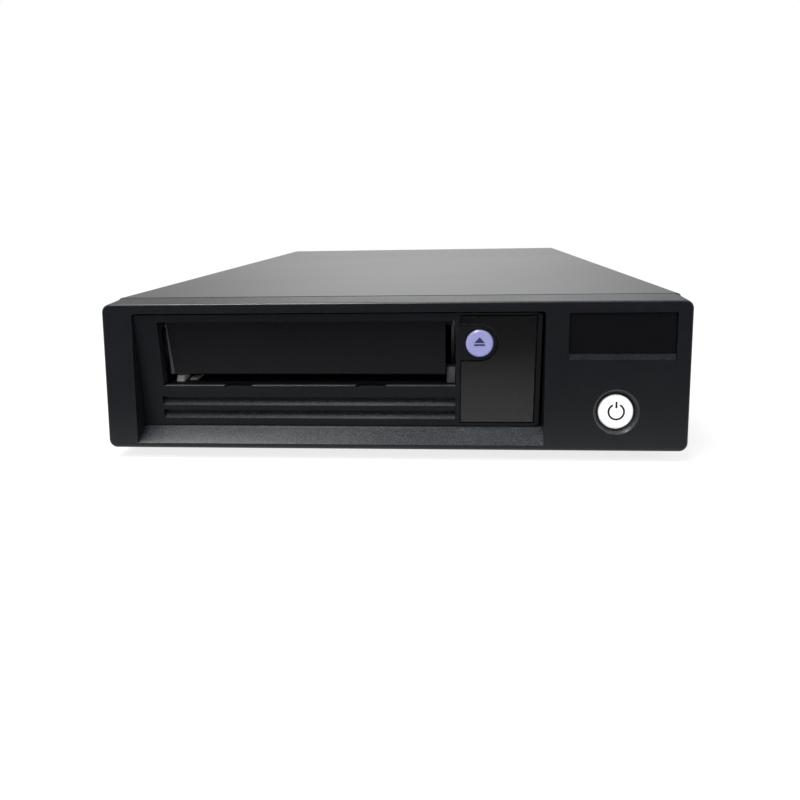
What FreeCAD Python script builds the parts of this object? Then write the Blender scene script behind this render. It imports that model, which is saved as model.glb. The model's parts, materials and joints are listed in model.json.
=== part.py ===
import FreeCAD, Part

import math
import os

os.makedirs("parts", exist_ok=True)

# External tabletop tape drive. Millimetres. X to the right seen from the front, the front faces -Y, +Z up.
# Origin: centre of the plan at the underside of the feet.

V = FreeCAD.Vector

# ---- Overall enclosure ---------------------------------------------------------------------------
FASCIA_WIDTH = 213.0
TOTAL_DEPTH = 332.0
COVER_TOP = 58.0
FASCIA_HEIGHT = 52.9
FASCIA_LEAN = 8.15            # how far the top edge sits behind the bottom edge
FASCIA_BACK = 21.0            # depth of the fascia at its bottom edge
FASCIA_WALL = 2.5
FASCIA_CORNER = 3.0
FASCIA_EDGE = 0.8
STRIP_RISE = 0.8              # rise of the top strip towards the cover
FOOT_HEIGHT = 4.4
FOOT_RADIUS = 8.0
SHEET = 1.0                   # sheet metal of cover and pan
COVER_WIDTH = 212.2
SEAT_GAP = 0.1                # between nested sheet metal walls
FOLD_RADIUS = 1.6             # outside of the cover's folds
FASCIA_TAB_X = 80.0           # screw tabs and feet lie this far from the middle
REAR_PROUD = 2.2              # mains inlet flange stands out of the rear wall
COVER_OVERHANG = 1.0          # cover past the rear wall

# ---- Window, badge and power button in the fascia ------------------------------------------------
WINDOW_X0, WINDOW_X1 = -95.2, 55.8
WINDOW_Z0, WINDOW_Z1 = 6.1, 53.6
TUNNEL_WALL = 2.0
SILL_BACK_Z = 10.6            # the raked sill ends here, under the drive bezel
BADGE_X0, BADGE_X1 = 64.0, 101.2
BADGE_Z0, BADGE_Z1 = 36.5, 53.0
BADGE_DEPTH = 1.6
BADGE_LEDGE = 2.3             # bare ledge below the plate
BADGE_PLATE = 1.0
BUTTON_X, BUTTON_Z = 81.2, 18.3
BUTTON_RADIUS = 6.15
WELL_RADIUS = 8.1
WELL_DEPTH = 1.9
BUTTON_CLEARANCE = 0.25
BUTTON_STROKE = 1.5

# ---- Tape drive unit -----------------------------------------------------------------------------
DRIVE_FACE = -157.57          # front face of the drive bezel
BEZEL_X0, BEZEL_X1 = -95.0, 53.7
BEZEL_Z0, BEZEL_Z1 = 10.9, 53.1
BEZEL_WALL = 2.4
BEZEL_SIDE = 1.6
BEZEL_CORNER = 0.8
DRIVE_WIDTH = 146.0
DRIVE_HEIGHT = 41.3
DRIVE_LENGTH = 204.0
CHASSIS_WALL = 2.5
DECK_Z = 18.0                 # top of the deck plate
DECK = 2.0
DRIVE_SHEET = 1.0
SLOT_X0, SLOT_X1 = -86.2, 24.2
SLOT_Z0, SLOT_Z1 = 26.1, 50.4
LOUVRE_X0, LOUVRE_X1 = -87.3, 24.0
LOUVRE_TOPS = (22.0, 16.9)
LOUVRE_HEIGHT = 3.4
LOUVRE_DEPTH = 2.0
LOUVRE_LIP = 1.1
PANEL_X0, PANEL_X1 = 25.7, 53.2
PANEL_Z0, PANEL_Z1 = 11.9, 52.4
PANEL_THICK = 1.6
EJECT_X, EJECT_Z = 32.65, 42.1
EJECT_RADIUS = 5.1
EJECT_HOUSING = 6.2
EJECT_CLEARANCE = 0.2
EJECT_STROKE = 1.0
EJECT_PROUD = 0.7

# ---- Cartridge path ------------------------------------------------------------------------------
CARTRIDGE_WIDTH, CARTRIDGE_HEIGHT = 105.4, 21.5
CARTRIDGE_FLOOR = 27.0        # underside of a cartridge as it enters
TRAY_PLAY = 1.0
TRAY_WALL = 1.2
TRAY_DROP = 4.0
LOADER_STROKE = 18.0
CARRIAGE_FRONT, CARRIAGE_LENGTH = -128.0, 64.0
RUNNING = 0.4                 # gap between sliding sheet parts
DOOR_X0, DOOR_X1 = -85.0, 20.4
DOOR_BOTTOM = 29.5
DOOR_THICK = 1.6
DOOR_Y = -152.7               # middle of the door and its pins
DOOR_PIVOT_Z = 50.2
DOOR_PIN = 0.9
BEARING = 0.05                # radial clearance of shafts in bores

# ---- Gears ---------------------------------------------------------------------------------------
MODULE = 0.5
PINION_TEETH, WHEEL_TEETH, MOTOR_TEETH = 20, 34, 12
RACK_PITCH_X = 30.0
GEAR_Y = -85.0
RACK_Z0, RACK_Z1 = 28.0, 31.0
WHEEL_Z0, WHEEL_Z1 = 31.8, 34.3
BACKLASH = 0.12

# ---- Reels and tape path -------------------------------------------------------------------------
REEL_X, REEL_Y, REEL_RADIUS, REEL_HUB = -45.0, 15.0, 34.0, 18.0
REEL_Z0, REEL_Z1 = 24.5, 41.5
CLUTCH_X, CLUTCH_Y, CLUTCH_RADIUS = -31.0, -80.5, 11.5
ROLLER_PLACES = ((32.0, -34.0), (41.0, -14.0), (38.0, 26.0), (14.0, 40.0))
ROLLER_RADIUS, ROLLER_FLANGE, ROLLER_PIN = 5.0, 5.6, 1.0
ROLLER_Z0, ROLLER_Z1 = 25.0, 41.0
HEAD_X, HEAD_Y = 43.0, 6.0
HEAD_LIFT = 3.0
ARM_X, ARM_Y, ARM_REACH, ARM_ANGLE = 10.0, 4.0, 24.0, -62.0

# ---- Rear electronics ----------------------------------------------------------------------------
FAN_X, FAN_Z, FAN_SIZE, FAN_DEPTH = 75.0, 31.0, 40.0, 20.0
FAN_BORE, FAN_HUB, FAN_SHAFT = 19.0, 9.5, 1.2
GRILLE_PITCH, GRILLE_HOLE = 5.0, 2.1
INLET_X, INLET_Z = -75.0, 31.0
PORT_XS = (6.0, 32.0)
PORT_WIDTH, PORT_HEIGHT, PORT_Z0 = 22.0, 10.0, 27.6
SUPPLY_X0, SUPPLY_X1, SUPPLY_Y0, SUPPLY_Y1 = -98.0, -26.0, 62.0, 128.0
SUPPLY_Z = 11.4
BOARD = 1.6

# ---- Derived places ------------------------------------------------------------------------------
FRONT = -TOTAL_DEPTH / 2
REAR_WALL = TOTAL_DEPTH / 2 - REAR_PROUD
FASCIA_BOTTOM = COVER_TOP - FASCIA_HEIGHT - STRIP_RISE - 0.1
FASCIA_TOP = FASCIA_BOTTOM + FASCIA_HEIGHT
FASCIA_REAR = FRONT + FASCIA_BACK
LEAN_ANGLE = math.degrees(math.atan2(FASCIA_LEAN, FASCIA_HEIGHT))
LEAN_COS = math.cos(math.radians(LEAN_ANGLE))
COVER_INNER = COVER_WIDTH / 2 - SHEET
PAN_HALF = COVER_INNER - SEAT_GAP
PAN_FLOOR = FOOT_HEIGHT + SHEET
CHASSIS_X0 = (BEZEL_X0 + BEZEL_X1) / 2 - DRIVE_WIDTH / 2
CHASSIS_X1 = CHASSIS_X0 + DRIVE_WIDTH
CHASSIS_Y0 = DRIVE_FACE + 6.0
CHASSIS_Y1 = CHASSIS_Y0 + DRIVE_LENGTH
CHASSIS_Z0 = (BEZEL_Z0 + BEZEL_Z1 - DRIVE_HEIGHT) / 2
CHASSIS_Z1 = CHASSIS_Z0 + DRIVE_HEIGHT
CHASSIS_RIM = CHASSIS_Z1 - DRIVE_SHEET
SLOT_MID = (SLOT_X0 + SLOT_X1) / 2
TRAY_IN = CARTRIDGE_WIDTH / 2 + TRAY_PLAY
TRAY_OUT = TRAY_IN + TRAY_WALL
CARRIAGE_IN = TRAY_OUT + RUNNING
CARRIAGE_OUT = CARRIAGE_IN + TRAY_WALL
CARRIAGE_REAR = CARRIAGE_FRONT + CARRIAGE_LENGTH
GEAR_X = RACK_PITCH_X + PINION_TEETH * MODULE / 2
MOTOR_Y = GEAR_Y + (WHEEL_TEETH + MOTOR_TEETH) * MODULE / 2


# ---- Helpers -------------------------------------------------------------------------------------
def block(x0, x1, y0, y1, z0, z1):
    """Box between two corners."""
    return Part.makeBox(x1 - x0, y1 - y0, z1 - z0, V(x0, y0, z0))


def rod(x, y, z, radius, length, axis="z"):
    """Cylinder from a point along an axis."""
    way = {"x": V(1, 0, 0), "y": V(0, 1, 0), "z": V(0, 0, 1)}[axis]
    return Part.makeCylinder(radius, length, V(x, y, z), way)


def tube(x, y, z, outer, inner, length, axis="z"):
    """Round tube."""
    return rod(x, y, z, outer, length, axis).cut(rod(x, y, z, inner, length, axis))


def along_x(points, x0, x1):
    """Closed YZ outline pushed from x0 to x1."""
    loop = [V(x0, y, z) for y, z in points]
    return Part.Face(Part.makePolygon(loop + loop[:1])).extrude(V(x1 - x0, 0, 0))


def along_y(points, y0, y1):
    """Closed XZ outline pushed from y0 to y1."""
    loop = [V(x, y0, z) for x, z in points]
    return Part.Face(Part.makePolygon(loop + loop[:1])).extrude(V(0, y1 - y0, 0))


def along_z(points, z0, z1):
    """Closed XY outline pushed from z0 to z1."""
    loop = [V(x, y, z0) for x, y in points]
    return Part.Face(Part.makePolygon(loop + loop[:1])).extrude(V(0, 0, z1 - z0))


def spun(points, x, y, z, axis="z"):
    """Outline of (radius, height) pairs revolved about an axis through a point."""
    loop = [V(r, 0, h) for r, h in points]
    solid = Part.Face(Part.makePolygon(loop + loop[:1])).revolve(V(0, 0, 0), V(0, 0, 1), 360)
    if axis == "y":
        solid.rotate(V(0, 0, 0), V(1, 0, 0), -90)
    solid.translate(V(x, y, z))
    return solid


def fuse(*shapes):
    """Join solids into one and clean shared faces."""
    return shapes[0].multiFuse(list(shapes[1:])).removeSplitter()


def long_edges(shape, axis, test):
    """Straight edges that run along an axis and whose middle passes the test."""
    found = []
    for edge in shape.Edges:
        if len(edge.Vertexes) == 2 and abs(edge.tangentAt(edge.FirstParameter).dot(axis)) > 0.999:
            if test(edge.CenterOfMass):
                found.append(edge)
    return found


def leaning(shape):
    """Turn a shape from the fascia's own frame (Y into the case, Z up its face) into place."""
    shape.rotate(V(0, 0, 0), V(1, 0, 0), -LEAN_ANGLE)
    shape.translate(V(0, FRONT, FASCIA_BOTTOM))
    return shape


def up_face(z):
    """Distance up the leaning face of a point at height z."""
    return (z - FASCIA_BOTTOM) / LEAN_COS


def face_y(z):
    """Y of the leaning face at height z."""
    return FRONT + (z - FASCIA_BOTTOM) * FASCIA_LEAN / FASCIA_HEIGHT


def screw(x, y, z, axis, radius=1.4, length=5.0, head=2.7, head_height=1.6):
    """Pan-head screw with its shank along the axis given as a vector."""
    shank = Part.makeCylinder(radius, length, V(x, y, z), axis)
    cap = Part.makeCylinder(head, head_height, V(x, y, z) - axis * head_height, axis)
    cap = cap.makeFillet(head_height * 0.6, [cap.Edges[2] if cap.Edges[2].CenterOfMass.distanceToPoint(
        V(x, y, z)) > head_height / 2 else cap.Edges[0]])
    return fuse(cap, shank)


def gear(x, y, z0, z1, teeth, phase):
    """Spur gear blank with straight-flanked teeth; phase is the angle of one tooth in degrees."""
    pitch = teeth * MODULE / 2
    root, tip = pitch - 1.2 * MODULE, pitch + 0.9 * MODULE
    wide = (math.pi * MODULE / 4 + 1.2 * MODULE * 0.364 - BACKLASH / 2) / root
    slim = (math.pi * MODULE / 4 - 0.9 * MODULE * 0.364 - BACKLASH / 2) / tip
    points = []
    for n in range(teeth):
        middle = math.radians(phase) + 2 * math.pi * n / teeth
        for radius, offset in ((root, -wide), (tip, -slim), (tip, slim), (root, wide)):
            points.append((x + radius * math.cos(middle + offset), y + radius * math.sin(middle + offset)))
    return along_z(points, z0, z1)


def cable(points, radius):
    """Round cable along straight runs joined by tangent arcs."""
    corners = [V(*p) for p in points]
    edges, start = [], corners[0]
    for before, here, after in zip(corners, corners[1:], corners[2:]):
        back, ahead = before - here, after - here
        half_turn = (math.pi - back.getAngle(ahead)) / 2
        reach = 0.45 * min(back.Length, ahead.Length)
        bend = reach / math.tan(half_turn)
        first = here + back.normalize() * reach
        last = here + ahead.normalize() * reach
        middle = here + (back + ahead).normalize() * (bend / math.cos(half_turn) - bend)
        edges.append(Part.LineSegment(start, first).toShape())
        edges.append(Part.Arc(first, middle, last).toShape())
        start = last
        print("cable radius", round(bend, 1))
    edges.append(Part.LineSegment(start, corners[-1]).toShape())
    path = Part.Wire(edges)
    ring = Part.Wire(Part.Circle(corners[0], corners[1] - corners[0], radius).toShape())
    solid = path.makePipeShell([ring], True, False)
    print("cable volume share", round(solid.Volume / (math.pi * radius ** 2 * path.Length), 3))
    return solid


def save(node, *shapes):
    """Write one node's STEP file, as one solid or a group of separate solids."""
    shape = shapes[0] if len(shapes) == 1 else Part.makeCompound(list(shapes))
    if not shape.isValid():
        print("NOT VALID", node)
    shape.exportStep(f"parts/{node}.step")


# ---- Enclosure -----------------------------------------------------------------------------------
def fascia_body():
    """Leaning hollow moulding, open at the back, with rounded long corners and front edges."""
    top_y = face_y(FASCIA_TOP)
    outline = [(FRONT, FASCIA_BOTTOM), (top_y, FASCIA_TOP), (FASCIA_REAR, FASCIA_TOP + STRIP_RISE),
               (FASCIA_REAR, FASCIA_BOTTOM)]
    half = FASCIA_WIDTH / 2
    body = along_x(outline, -half, half)
    corners = long_edges(body, V(0, 1, 0), lambda c: True) + long_edges(
        body, V(0, FASCIA_REAR - top_y, STRIP_RISE).normalize(), lambda c: c.z > FASCIA_TOP - 1)
    unique = {round(e.CenterOfMass.x + 3 * e.CenterOfMass.z, 3): e for e in corners}
    body = body.makeFillet(FASCIA_CORNER, list(unique.values()))
    rim = [e for e in body.Edges
           if abs(e.CenterOfMass.y - face_y(e.CenterOfMass.z)) < 0.3 and e.BoundBox.YMax < FASCIA_REAR - 1]
    body = body.makeFillet(FASCIA_EDGE, rim)
    inset = FASCIA_WALL / LEAN_COS
    inner = [(FRONT + inset, FASCIA_BOTTOM - 5), (top_y + inset, FASCIA_TOP + 5),
             (FASCIA_REAR + 1, FASCIA_TOP + 5), (FASCIA_REAR + 1, FASCIA_BOTTOM - 5)]
    hollow = along_x(inner, -half + FASCIA_WALL, half - FASCIA_WALL)
    low, high = FASCIA_BOTTOM + FASCIA_WALL, FASCIA_TOP - FASCIA_WALL + 0.6
    hollow = hollow.common(block(-half, half, FRONT - 5, FASCIA_REAR + 5, low, high))
    return body.cut(hollow)


def window_outline(grow):
    """YZ outline of the window recess; grow is the wall put round it."""
    back = DRIVE_FACE + 9.0
    low, high, sill = WINDOW_Z0 - grow, WINDOW_Z1 + grow, SILL_BACK_Z - grow
    front = face_y(WINDOW_Z0)
    reach = 8.0
    if grow:
        return [(front + 1.0, low), (DRIVE_FACE + 0.4, sill), (back, sill), (back, high),
                (face_y(high) + 1.0, high)]
    return [(front - reach, low), (front, low), (DRIVE_FACE + 0.4, sill), (back + 1, sill), (back + 1, high),
            (front - reach, high)]


def front_fascia():
    """Leaning front moulding: window tunnel with raked sill, badge pocket, button well, bosses and lips."""
    body = fascia_body()
    tunnel = along_x(window_outline(TUNNEL_WALL), WINDOW_X0 - TUNNEL_WALL, WINDOW_X1 + TUNNEL_WALL)
    low, high = up_face(BADGE_Z0), up_face(BADGE_Z1)
    badge_back = leaning(block(BADGE_X0 - 2, BADGE_X1 + 2, 1.0, BADGE_DEPTH + 2.0, low - 2, high - 0.3))
    centre = up_face(BUTTON_Z)
    boss = leaning(rod(BUTTON_X, 1.0, centre, WELL_RADIUS + 1.6, 6.0, "y"))
    posts = [leaning(rod(BUTTON_X + dx, 1.0, centre, 2.4, 12.8, "y")) for dx in (-13.5, 13.5)]
    lip_z = COVER_TOP - SHEET - SEAT_GAP
    lips = [block(-COVER_INNER + 4, COVER_INNER - 4, FASCIA_REAR - 2, FASCIA_REAR + 6, lip_z - 1.8, lip_z)]
    for side in (-1, 1):
        wall = sorted((side * (PAN_HALF - 1.8), side * PAN_HALF))
        lips.append(block(wall[0], wall[1], FASCIA_REAR - 2, FASCIA_REAR + 6, 23.0, lip_z - 3))
        lips.append(block(side * FASCIA_TAB_X - 7, side * FASCIA_TAB_X + 7, FASCIA_REAR - 17.0, FASCIA_REAR + 12,
                          PAN_FLOOR + SEAT_GAP, PAN_FLOOR + 2.6))
    body = fuse(body, tunnel, badge_back, boss, *posts, *lips)
    window = along_x(window_outline(0), WINDOW_X0, WINDOW_X1)
    edges = long_edges(window, V(0, 1, 0), lambda c: c.z > WINDOW_Z1 - 1)
    window = window.makeFillet(1.2, edges)
    pocket = leaning(block(BADGE_X0, BADGE_X1, -2, BADGE_DEPTH, low, high))
    well = Part.makeCone(WELL_RADIUS, BUTTON_RADIUS + 0.6, WELL_DEPTH, V(BUTTON_X, 0, centre), V(0, 1, 0))
    mouth = rod(BUTTON_X, -2, centre, WELL_RADIUS, 2, "y")
    bore = rod(BUTTON_X, -2, centre, BUTTON_RADIUS + BUTTON_CLEARANCE, 14, "y")
    pilots = [leaning(rod(BUTTON_X + dx, 8.8, centre, 0.9, 6, "y")) for dx in (-13.5, 13.5)]
    holes = [rod(side * FASCIA_TAB_X, FASCIA_REAR + 7, PAN_FLOOR - 1, 1.3, 5) for side in (-1, 1)]
    body = body.cut(window)
    return body.cut(pocket).cut(leaning(fuse(well, mouth, bore))).cut(Part.makeCompound(pilots + holes))


def badge_plate():
    """Bare plate seated in the fascia's pocket, above a bare ledge."""
    low, high = up_face(BADGE_Z0) + BADGE_LEDGE, up_face(BADGE_Z1) - 0.3
    plate = block(BADGE_X0 + 0.4, BADGE_X1 - 0.4, BADGE_DEPTH - BADGE_PLATE, BADGE_DEPTH, low, high)
    plate = plate.makeFillet(0.6, long_edges(plate, V(0, 1, 0), lambda c: True))
    return leaning(plate)


def top_cover():
    """Folded sheet cover: top and two sides with rounded folds."""
    half, front, back = COVER_WIDTH / 2, FASCIA_REAR + 0.15, REAR_WALL + COVER_OVERHANG
    outer = block(-half, half, front, back, FOOT_HEIGHT + 0.2, COVER_TOP)
    outer = outer.makeFillet(FOLD_RADIUS, long_edges(outer, V(0, 1, 0), lambda c: c.z > COVER_TOP - 1))
    inner = block(-COVER_INNER, COVER_INNER, front - 1, back + 1, FOOT_HEIGHT - 1, COVER_TOP - SHEET)
    inner = inner.makeFillet(FOLD_RADIUS - SHEET, long_edges(inner, V(0, 1, 0), lambda c: c.z > COVER_TOP - 2))
    holes = []
    for y in CASE_SCREW_YS:
        holes.append(rod(-half - 1, y, CASE_SCREW_Z, 1.6, 2 * half + 2, "x"))
    return outer.cut(inner).cut(Part.makeCompound(holes))


CASE_SCREW_YS = (-110.0, 120.0)
CASE_SCREW_Z = 13.0


def grille_centres():
    """Centres of the fan grille's holes in a hexagonal field."""
    places, rows = [], 4
    for row in range(-rows, rows + 1):
        for column in range(-rows, rows + 1):
            x = (column + 0.5 * (row % 2)) * GRILLE_PITCH
            z = row * GRILLE_PITCH * math.sqrt(3) / 2
            if math.hypot(x, z) < FAN_BORE - GRILLE_HOLE:
                places.append((FAN_X + x, FAN_Z + z))
    return places


def fan_screw_places():
    """Corner screws of the fan."""
    step = FAN_SIZE / 2 - 4.0
    return [(FAN_X + i * step, FAN_Z + k * step) for i in (-1, 1) for k in (-1, 1)]


def base_pan():
    """Folded pan: floor, side flanges and the rear wall with its openings."""
    front = FASCIA_REAR + 0.4
    floor = block(-PAN_HALF, PAN_HALF, front, REAR_WALL, FOOT_HEIGHT, PAN_FLOOR)
    top = COVER_TOP - FOLD_RADIUS
    rear = block(-PAN_HALF, PAN_HALF, REAR_WALL - SHEET, REAR_WALL, FOOT_HEIGHT, top)
    sides = [block(*sorted((s * PAN_HALF, s * (PAN_HALF - SHEET))), front, REAR_WALL, FOOT_HEIGHT, 21.0)
             for s in (-1, 1)]
    tabs = [block(*sorted((s * PAN_HALF, s * (PAN_HALF - SHEET))), REAR_WALL - 9, REAR_WALL, FOOT_HEIGHT, top)
            for s in (-1, 1)]
    pan = fuse(floor, rear, *sides, *tabs)
    holes = []
    for x, z in grille_centres():
        ring = [(x + GRILLE_HOLE * math.cos(math.radians(a)), z + GRILLE_HOLE * math.sin(math.radians(a)))
                for a in range(30, 390, 60)]
        holes.append(along_y(ring, REAR_WALL - 2, REAR_WALL + 1))
    holes += [rod(x, REAR_WALL - 2, z, 1.7, 4, "y") for x, z in fan_screw_places()]
    for x in PORT_XS:
        half = PORT_WIDTH / 2 + 0.4
        holes.append(block(x - half, x + half, REAR_WALL - 2, REAR_WALL + 1, PORT_Z0 - 0.3,
                           PORT_Z0 + PORT_HEIGHT + 0.4))
    holes.append(block(INLET_X - 13.9, INLET_X + 13.9, REAR_WALL - 2, REAR_WALL + 1, INLET_Z - 10.2,
                       INLET_Z + 10.2))
    for s in (-1, 1):
        holes += [rod(s * PAN_HALF - 2, y, CASE_SCREW_Z, 1.45, 4, "x") for y in CASE_SCREW_YS]
        holes.append(rod(s * FASCIA_TAB_X, FASCIA_REAR + 7, FOOT_HEIGHT - 1, 1.6, 3))
        holes += [rod(s * FASCIA_TAB_X, y, FOOT_HEIGHT - 1, 1.6, 3) for y in FOOT_YS]
    return pan.cut(Part.makeCompound(holes))


FOOT_YS = (-118.0, 132.0)


def rubber_feet():
    """Four turned rubber feet, each with a stem through the pan."""
    outline = [(0, 0), (FOOT_RADIUS - 0.8, 0), (FOOT_RADIUS, 0.8), (FOOT_RADIUS - 0.6, FOOT_HEIGHT), (1.5, FOOT_HEIGHT),
               (1.5, PAN_FLOOR), (2.1, PAN_FLOOR), (1.2, PAN_FLOOR + 1.6), (0, PAN_FLOOR + 1.6)]
    return [spun(outline, s * FASCIA_TAB_X, y, 0) for s in (-1, 1) for y in FOOT_YS]


def case_screws():
    """Side screws of the cover, the fan's corner screws and the fascia's two screws from below."""
    found = []
    for s in (-1, 1):
        found += [screw(s * COVER_WIDTH / 2, y, CASE_SCREW_Z, V(-s, 0, 0), 1.4, 4.0) for y in CASE_SCREW_YS]
        found.append(screw(s * FASCIA_TAB_X, FASCIA_REAR + 7, FOOT_HEIGHT, V(0, 0, 1), 1.25, 3.4))
    found += [screw(x, REAR_WALL, z, V(0, -1, 0), 1.5, 5.0) for x, z in fan_screw_places()]
    return found


def power_button():
    """Round button with a domed cap, a skirt and a plunger; its flange sits behind the bore."""
    centre = up_face(BUTTON_Z)
    front = WELL_DEPTH - 1.0
    outline = [(0, -0.45), (BUTTON_RADIUS * 0.55, -0.3), (BUTTON_RADIUS - 0.5, 0.0), (BUTTON_RADIUS, 0.5),
               (BUTTON_RADIUS, 6.3), (BUTTON_RADIUS + 1.2, 6.3), (BUTTON_RADIUS + 1.2, 7.3), (1.6, 7.3),
               (1.6, 8.6), (0, 8.6)]
    return leaning(spun(outline, BUTTON_X, front, centre, "y"))


def coil_spring(turns, radius, wire, length):
    """Compression spring of stacked rings joined in one stepped helix, along +Y from the origin."""
    helix = Part.makeHelix(length / turns, length, radius)
    ring = Part.Wire(Part.Circle(V(radius, 0, 0), V(0, 1, 0), wire).toShape())
    solid = Part.Wire(helix).makePipeShell([ring], True, True)
    solid.rotate(V(0, 0, 0), V(1, 0, 0), -90)
    return solid


def power_button_spring():
    """Spring between the button's flange and the switch board."""
    spring = coil_spring(4, 5.2, 0.3, 4.9)
    spring.translate(V(BUTTON_X, WELL_DEPTH - 1.0 + 7.65, up_face(BUTTON_Z)))
    return leaning(spring)


def power_switch_board():
    """Small board on the fascia's two posts, with a tactile switch and its connector."""
    centre = up_face(BUTTON_Z)
    board = block(BUTTON_X - 17, BUTTON_X + 17, 13.8, 13.8 + BOARD, centre - 8, centre + 8)
    switch = block(BUTTON_X - 2.9, BUTTON_X + 2.9, 11.6, 13.8, centre - 2.9, centre + 2.9)
    stem = rod(BUTTON_X, 11.2, centre, 1.5, 0.6, "y")
    socket = block(BUTTON_X + 8, BUTTON_X + 14, 13.8 + BOARD, 13.8 + BOARD + 5, centre - 7, centre - 2)
    holes = Part.makeCompound([rod(BUTTON_X + dx, 13, centre, 1.1, 4, "y") for dx in (-13.5, 13.5)])
    screws = [screw(BUTTON_X + dx, 13.8 + BOARD, centre, V(0, -1, 0), 0.85, 4.0, 1.9, 1.2) for dx in (-13.5, 13.5)]
    return leaning(board.cut(holes).fuse([switch, stem, socket])), [leaning(s) for s in screws]


# ---- Drive bezel, window, door -------------------------------------------------------------------
def drive_bezel():
    """Drive front: slot with a notched lip, two raked louvres, window seat, eject housing and door ears."""
    back = CHASSIS_Y0 - 0.1
    shell = block(BEZEL_X0, BEZEL_X1, DRIVE_FACE, back, BEZEL_Z0, BEZEL_Z1)
    shell = shell.makeFillet(BEZEL_CORNER, long_edges(shell, V(0, 1, 0), lambda c: True))
    hollow = block(BEZEL_X0 + BEZEL_SIDE, BEZEL_X1 - BEZEL_SIDE, DRIVE_FACE + BEZEL_WALL, back + 1,
                   BEZEL_Z0 + BEZEL_SIDE, BEZEL_Z1 - BEZEL_SIDE)
    shell = shell.cut(hollow)
    rim = 1.2
    surround = block(SLOT_X0 - rim, SLOT_X1 + rim, DRIVE_FACE + 1, DRIVE_FACE + 3.4, SLOT_Z0 - rim, SLOT_Z1 + rim)
    vent = block(LOUVRE_X0, LOUVRE_X1, DRIVE_FACE + 1, DRIVE_FACE + LOUVRE_DEPTH + 1.2, BEZEL_Z0 + 1, SLOT_Z0 - 0.5)
    housing = rod(EJECT_X, DRIVE_FACE, EJECT_Z, EJECT_HOUSING, 5.2, "y")
    tongue = block(PANEL_X0 - 0.5, EJECT_X, DRIVE_FACE, DRIVE_FACE + 5.2, EJECT_Z - EJECT_HOUSING,
                   EJECT_Z + EJECT_HOUSING)
    seat = block(PANEL_X0, PANEL_X1, DRIVE_FACE, DRIVE_FACE + PANEL_THICK, PANEL_Z0, PANEL_Z1)
    opening = block(PANEL_X0 + 1.5, FRONT_BOARD_BOSSES[0][0] - 0.4, DRIVE_FACE, DRIVE_FACE + 4, PANEL_Z0 + 1.5, PANEL_Z1 - 1.5)
    slot = block(SLOT_X0, SLOT_X1, DRIVE_FACE - 1, DRIVE_FACE + 5, SLOT_Z0, SLOT_Z1)
    shell = fuse(shell, surround, vent).cut(fuse(seat, opening))
    bosses = [rod(x, DRIVE_FACE + BEZEL_WALL, z, 2.2, FRONT_BOARD_Y - DRIVE_FACE - BEZEL_WALL, "y")
              for x, z in FRONT_BOARD_BOSSES]
    cheeks = [block(x0, x1, DOOR_Y - 2.2, back, DOOR_PIVOT_Z - 2.2, BEZEL_Z1 - 1)
              for x0, x1 in ((DOOR_X0 - 2.6, DOOR_X0 - 0.5), (DOOR_X1 + 0.5, DOOR_X1 + 2.6))]
    body = fuse(shell, fuse(housing, tongue), *bosses, *cheeks).cut(slot)
    cuts = [rod(EJECT_X, DRIVE_FACE - 1, EJECT_Z, EJECT_RADIUS, 12, "y")]
    for top in LOUVRE_TOPS:
        outline = [(DRIVE_FACE - 1, top), (DRIVE_FACE + LOUVRE_DEPTH, top),
                   (DRIVE_FACE + LOUVRE_DEPTH, top - LOUVRE_LIP), (DRIVE_FACE, top - LOUVRE_HEIGHT),
                   (DRIVE_FACE - 1, top - LOUVRE_HEIGHT)]
        cuts.append(along_x(outline, LOUVRE_X0, LOUVRE_X1))
    for x0, x1 in ((-62.7, -52.3), (-12.9, -1.8)):
        cuts.append(block(x0, x1, DRIVE_FACE - 1, DRIVE_FACE + 5, SLOT_Z0 - 0.7, SLOT_Z0 + 1))
    cuts += [rod(DOOR_X0 - 3, DOOR_Y, DOOR_PIVOT_Z, DOOR_PIN + BEARING, DOOR_X1 - DOOR_X0 + 6, "x")]
    return body.cut(Part.makeCompound(cuts))


FRONT_BOARD_Y = DRIVE_FACE + 8.4
FRONT_BOARD_BOSSES = ((CHASSIS_X1 - CHASSIS_WALL - 2.5, 47.5), (CHASSIS_X1 - CHASSIS_WALL - 2.5, 21.0))


def status_window():
    """Smoky plate flush with the bezel, cut round the eject button's housing."""
    gap = 0.1
    plate = block(PANEL_X0 + gap, PANEL_X1 - gap, DRIVE_FACE, DRIVE_FACE + PANEL_THICK, PANEL_Z0 + gap,
                  PANEL_Z1 - gap)
    housing = rod(EJECT_X, DRIVE_FACE - 1, EJECT_Z, EJECT_HOUSING + gap, 4, "y")
    tongue = block(PANEL_X0 - 1, EJECT_X, DRIVE_FACE - 1, DRIVE_FACE + 3, EJECT_Z - EJECT_HOUSING - gap,
                   EJECT_Z + EJECT_HOUSING + gap)
    return plate.cut(fuse(housing, tongue))


def eject_button():
    """Round dished cap with a retaining flange behind the housing."""
    radius = EJECT_RADIUS - EJECT_CLEARANCE
    outline = [(0, 0.25), (radius - 1.2, 0.0), (radius - 0.5, 0.0), (radius, 0.5), (radius, 6.2),
               (radius + 0.9, 6.2), (radius + 0.9, 7.0), (1.2, 7.0), (1.2, 7.5), (0, 7.5)]
    return spun(outline, EJECT_X, DRIVE_FACE - EJECT_PROUD, EJECT_Z, "y")


def eject_button_spring():
    """Spring between the eject button and the front board."""
    spring = coil_spring(2, 2.6, 0.22, 1.3)
    spring.translate(V(EJECT_X, DRIVE_FACE - EJECT_PROUD + 7.3, EJECT_Z))
    return spring


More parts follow.
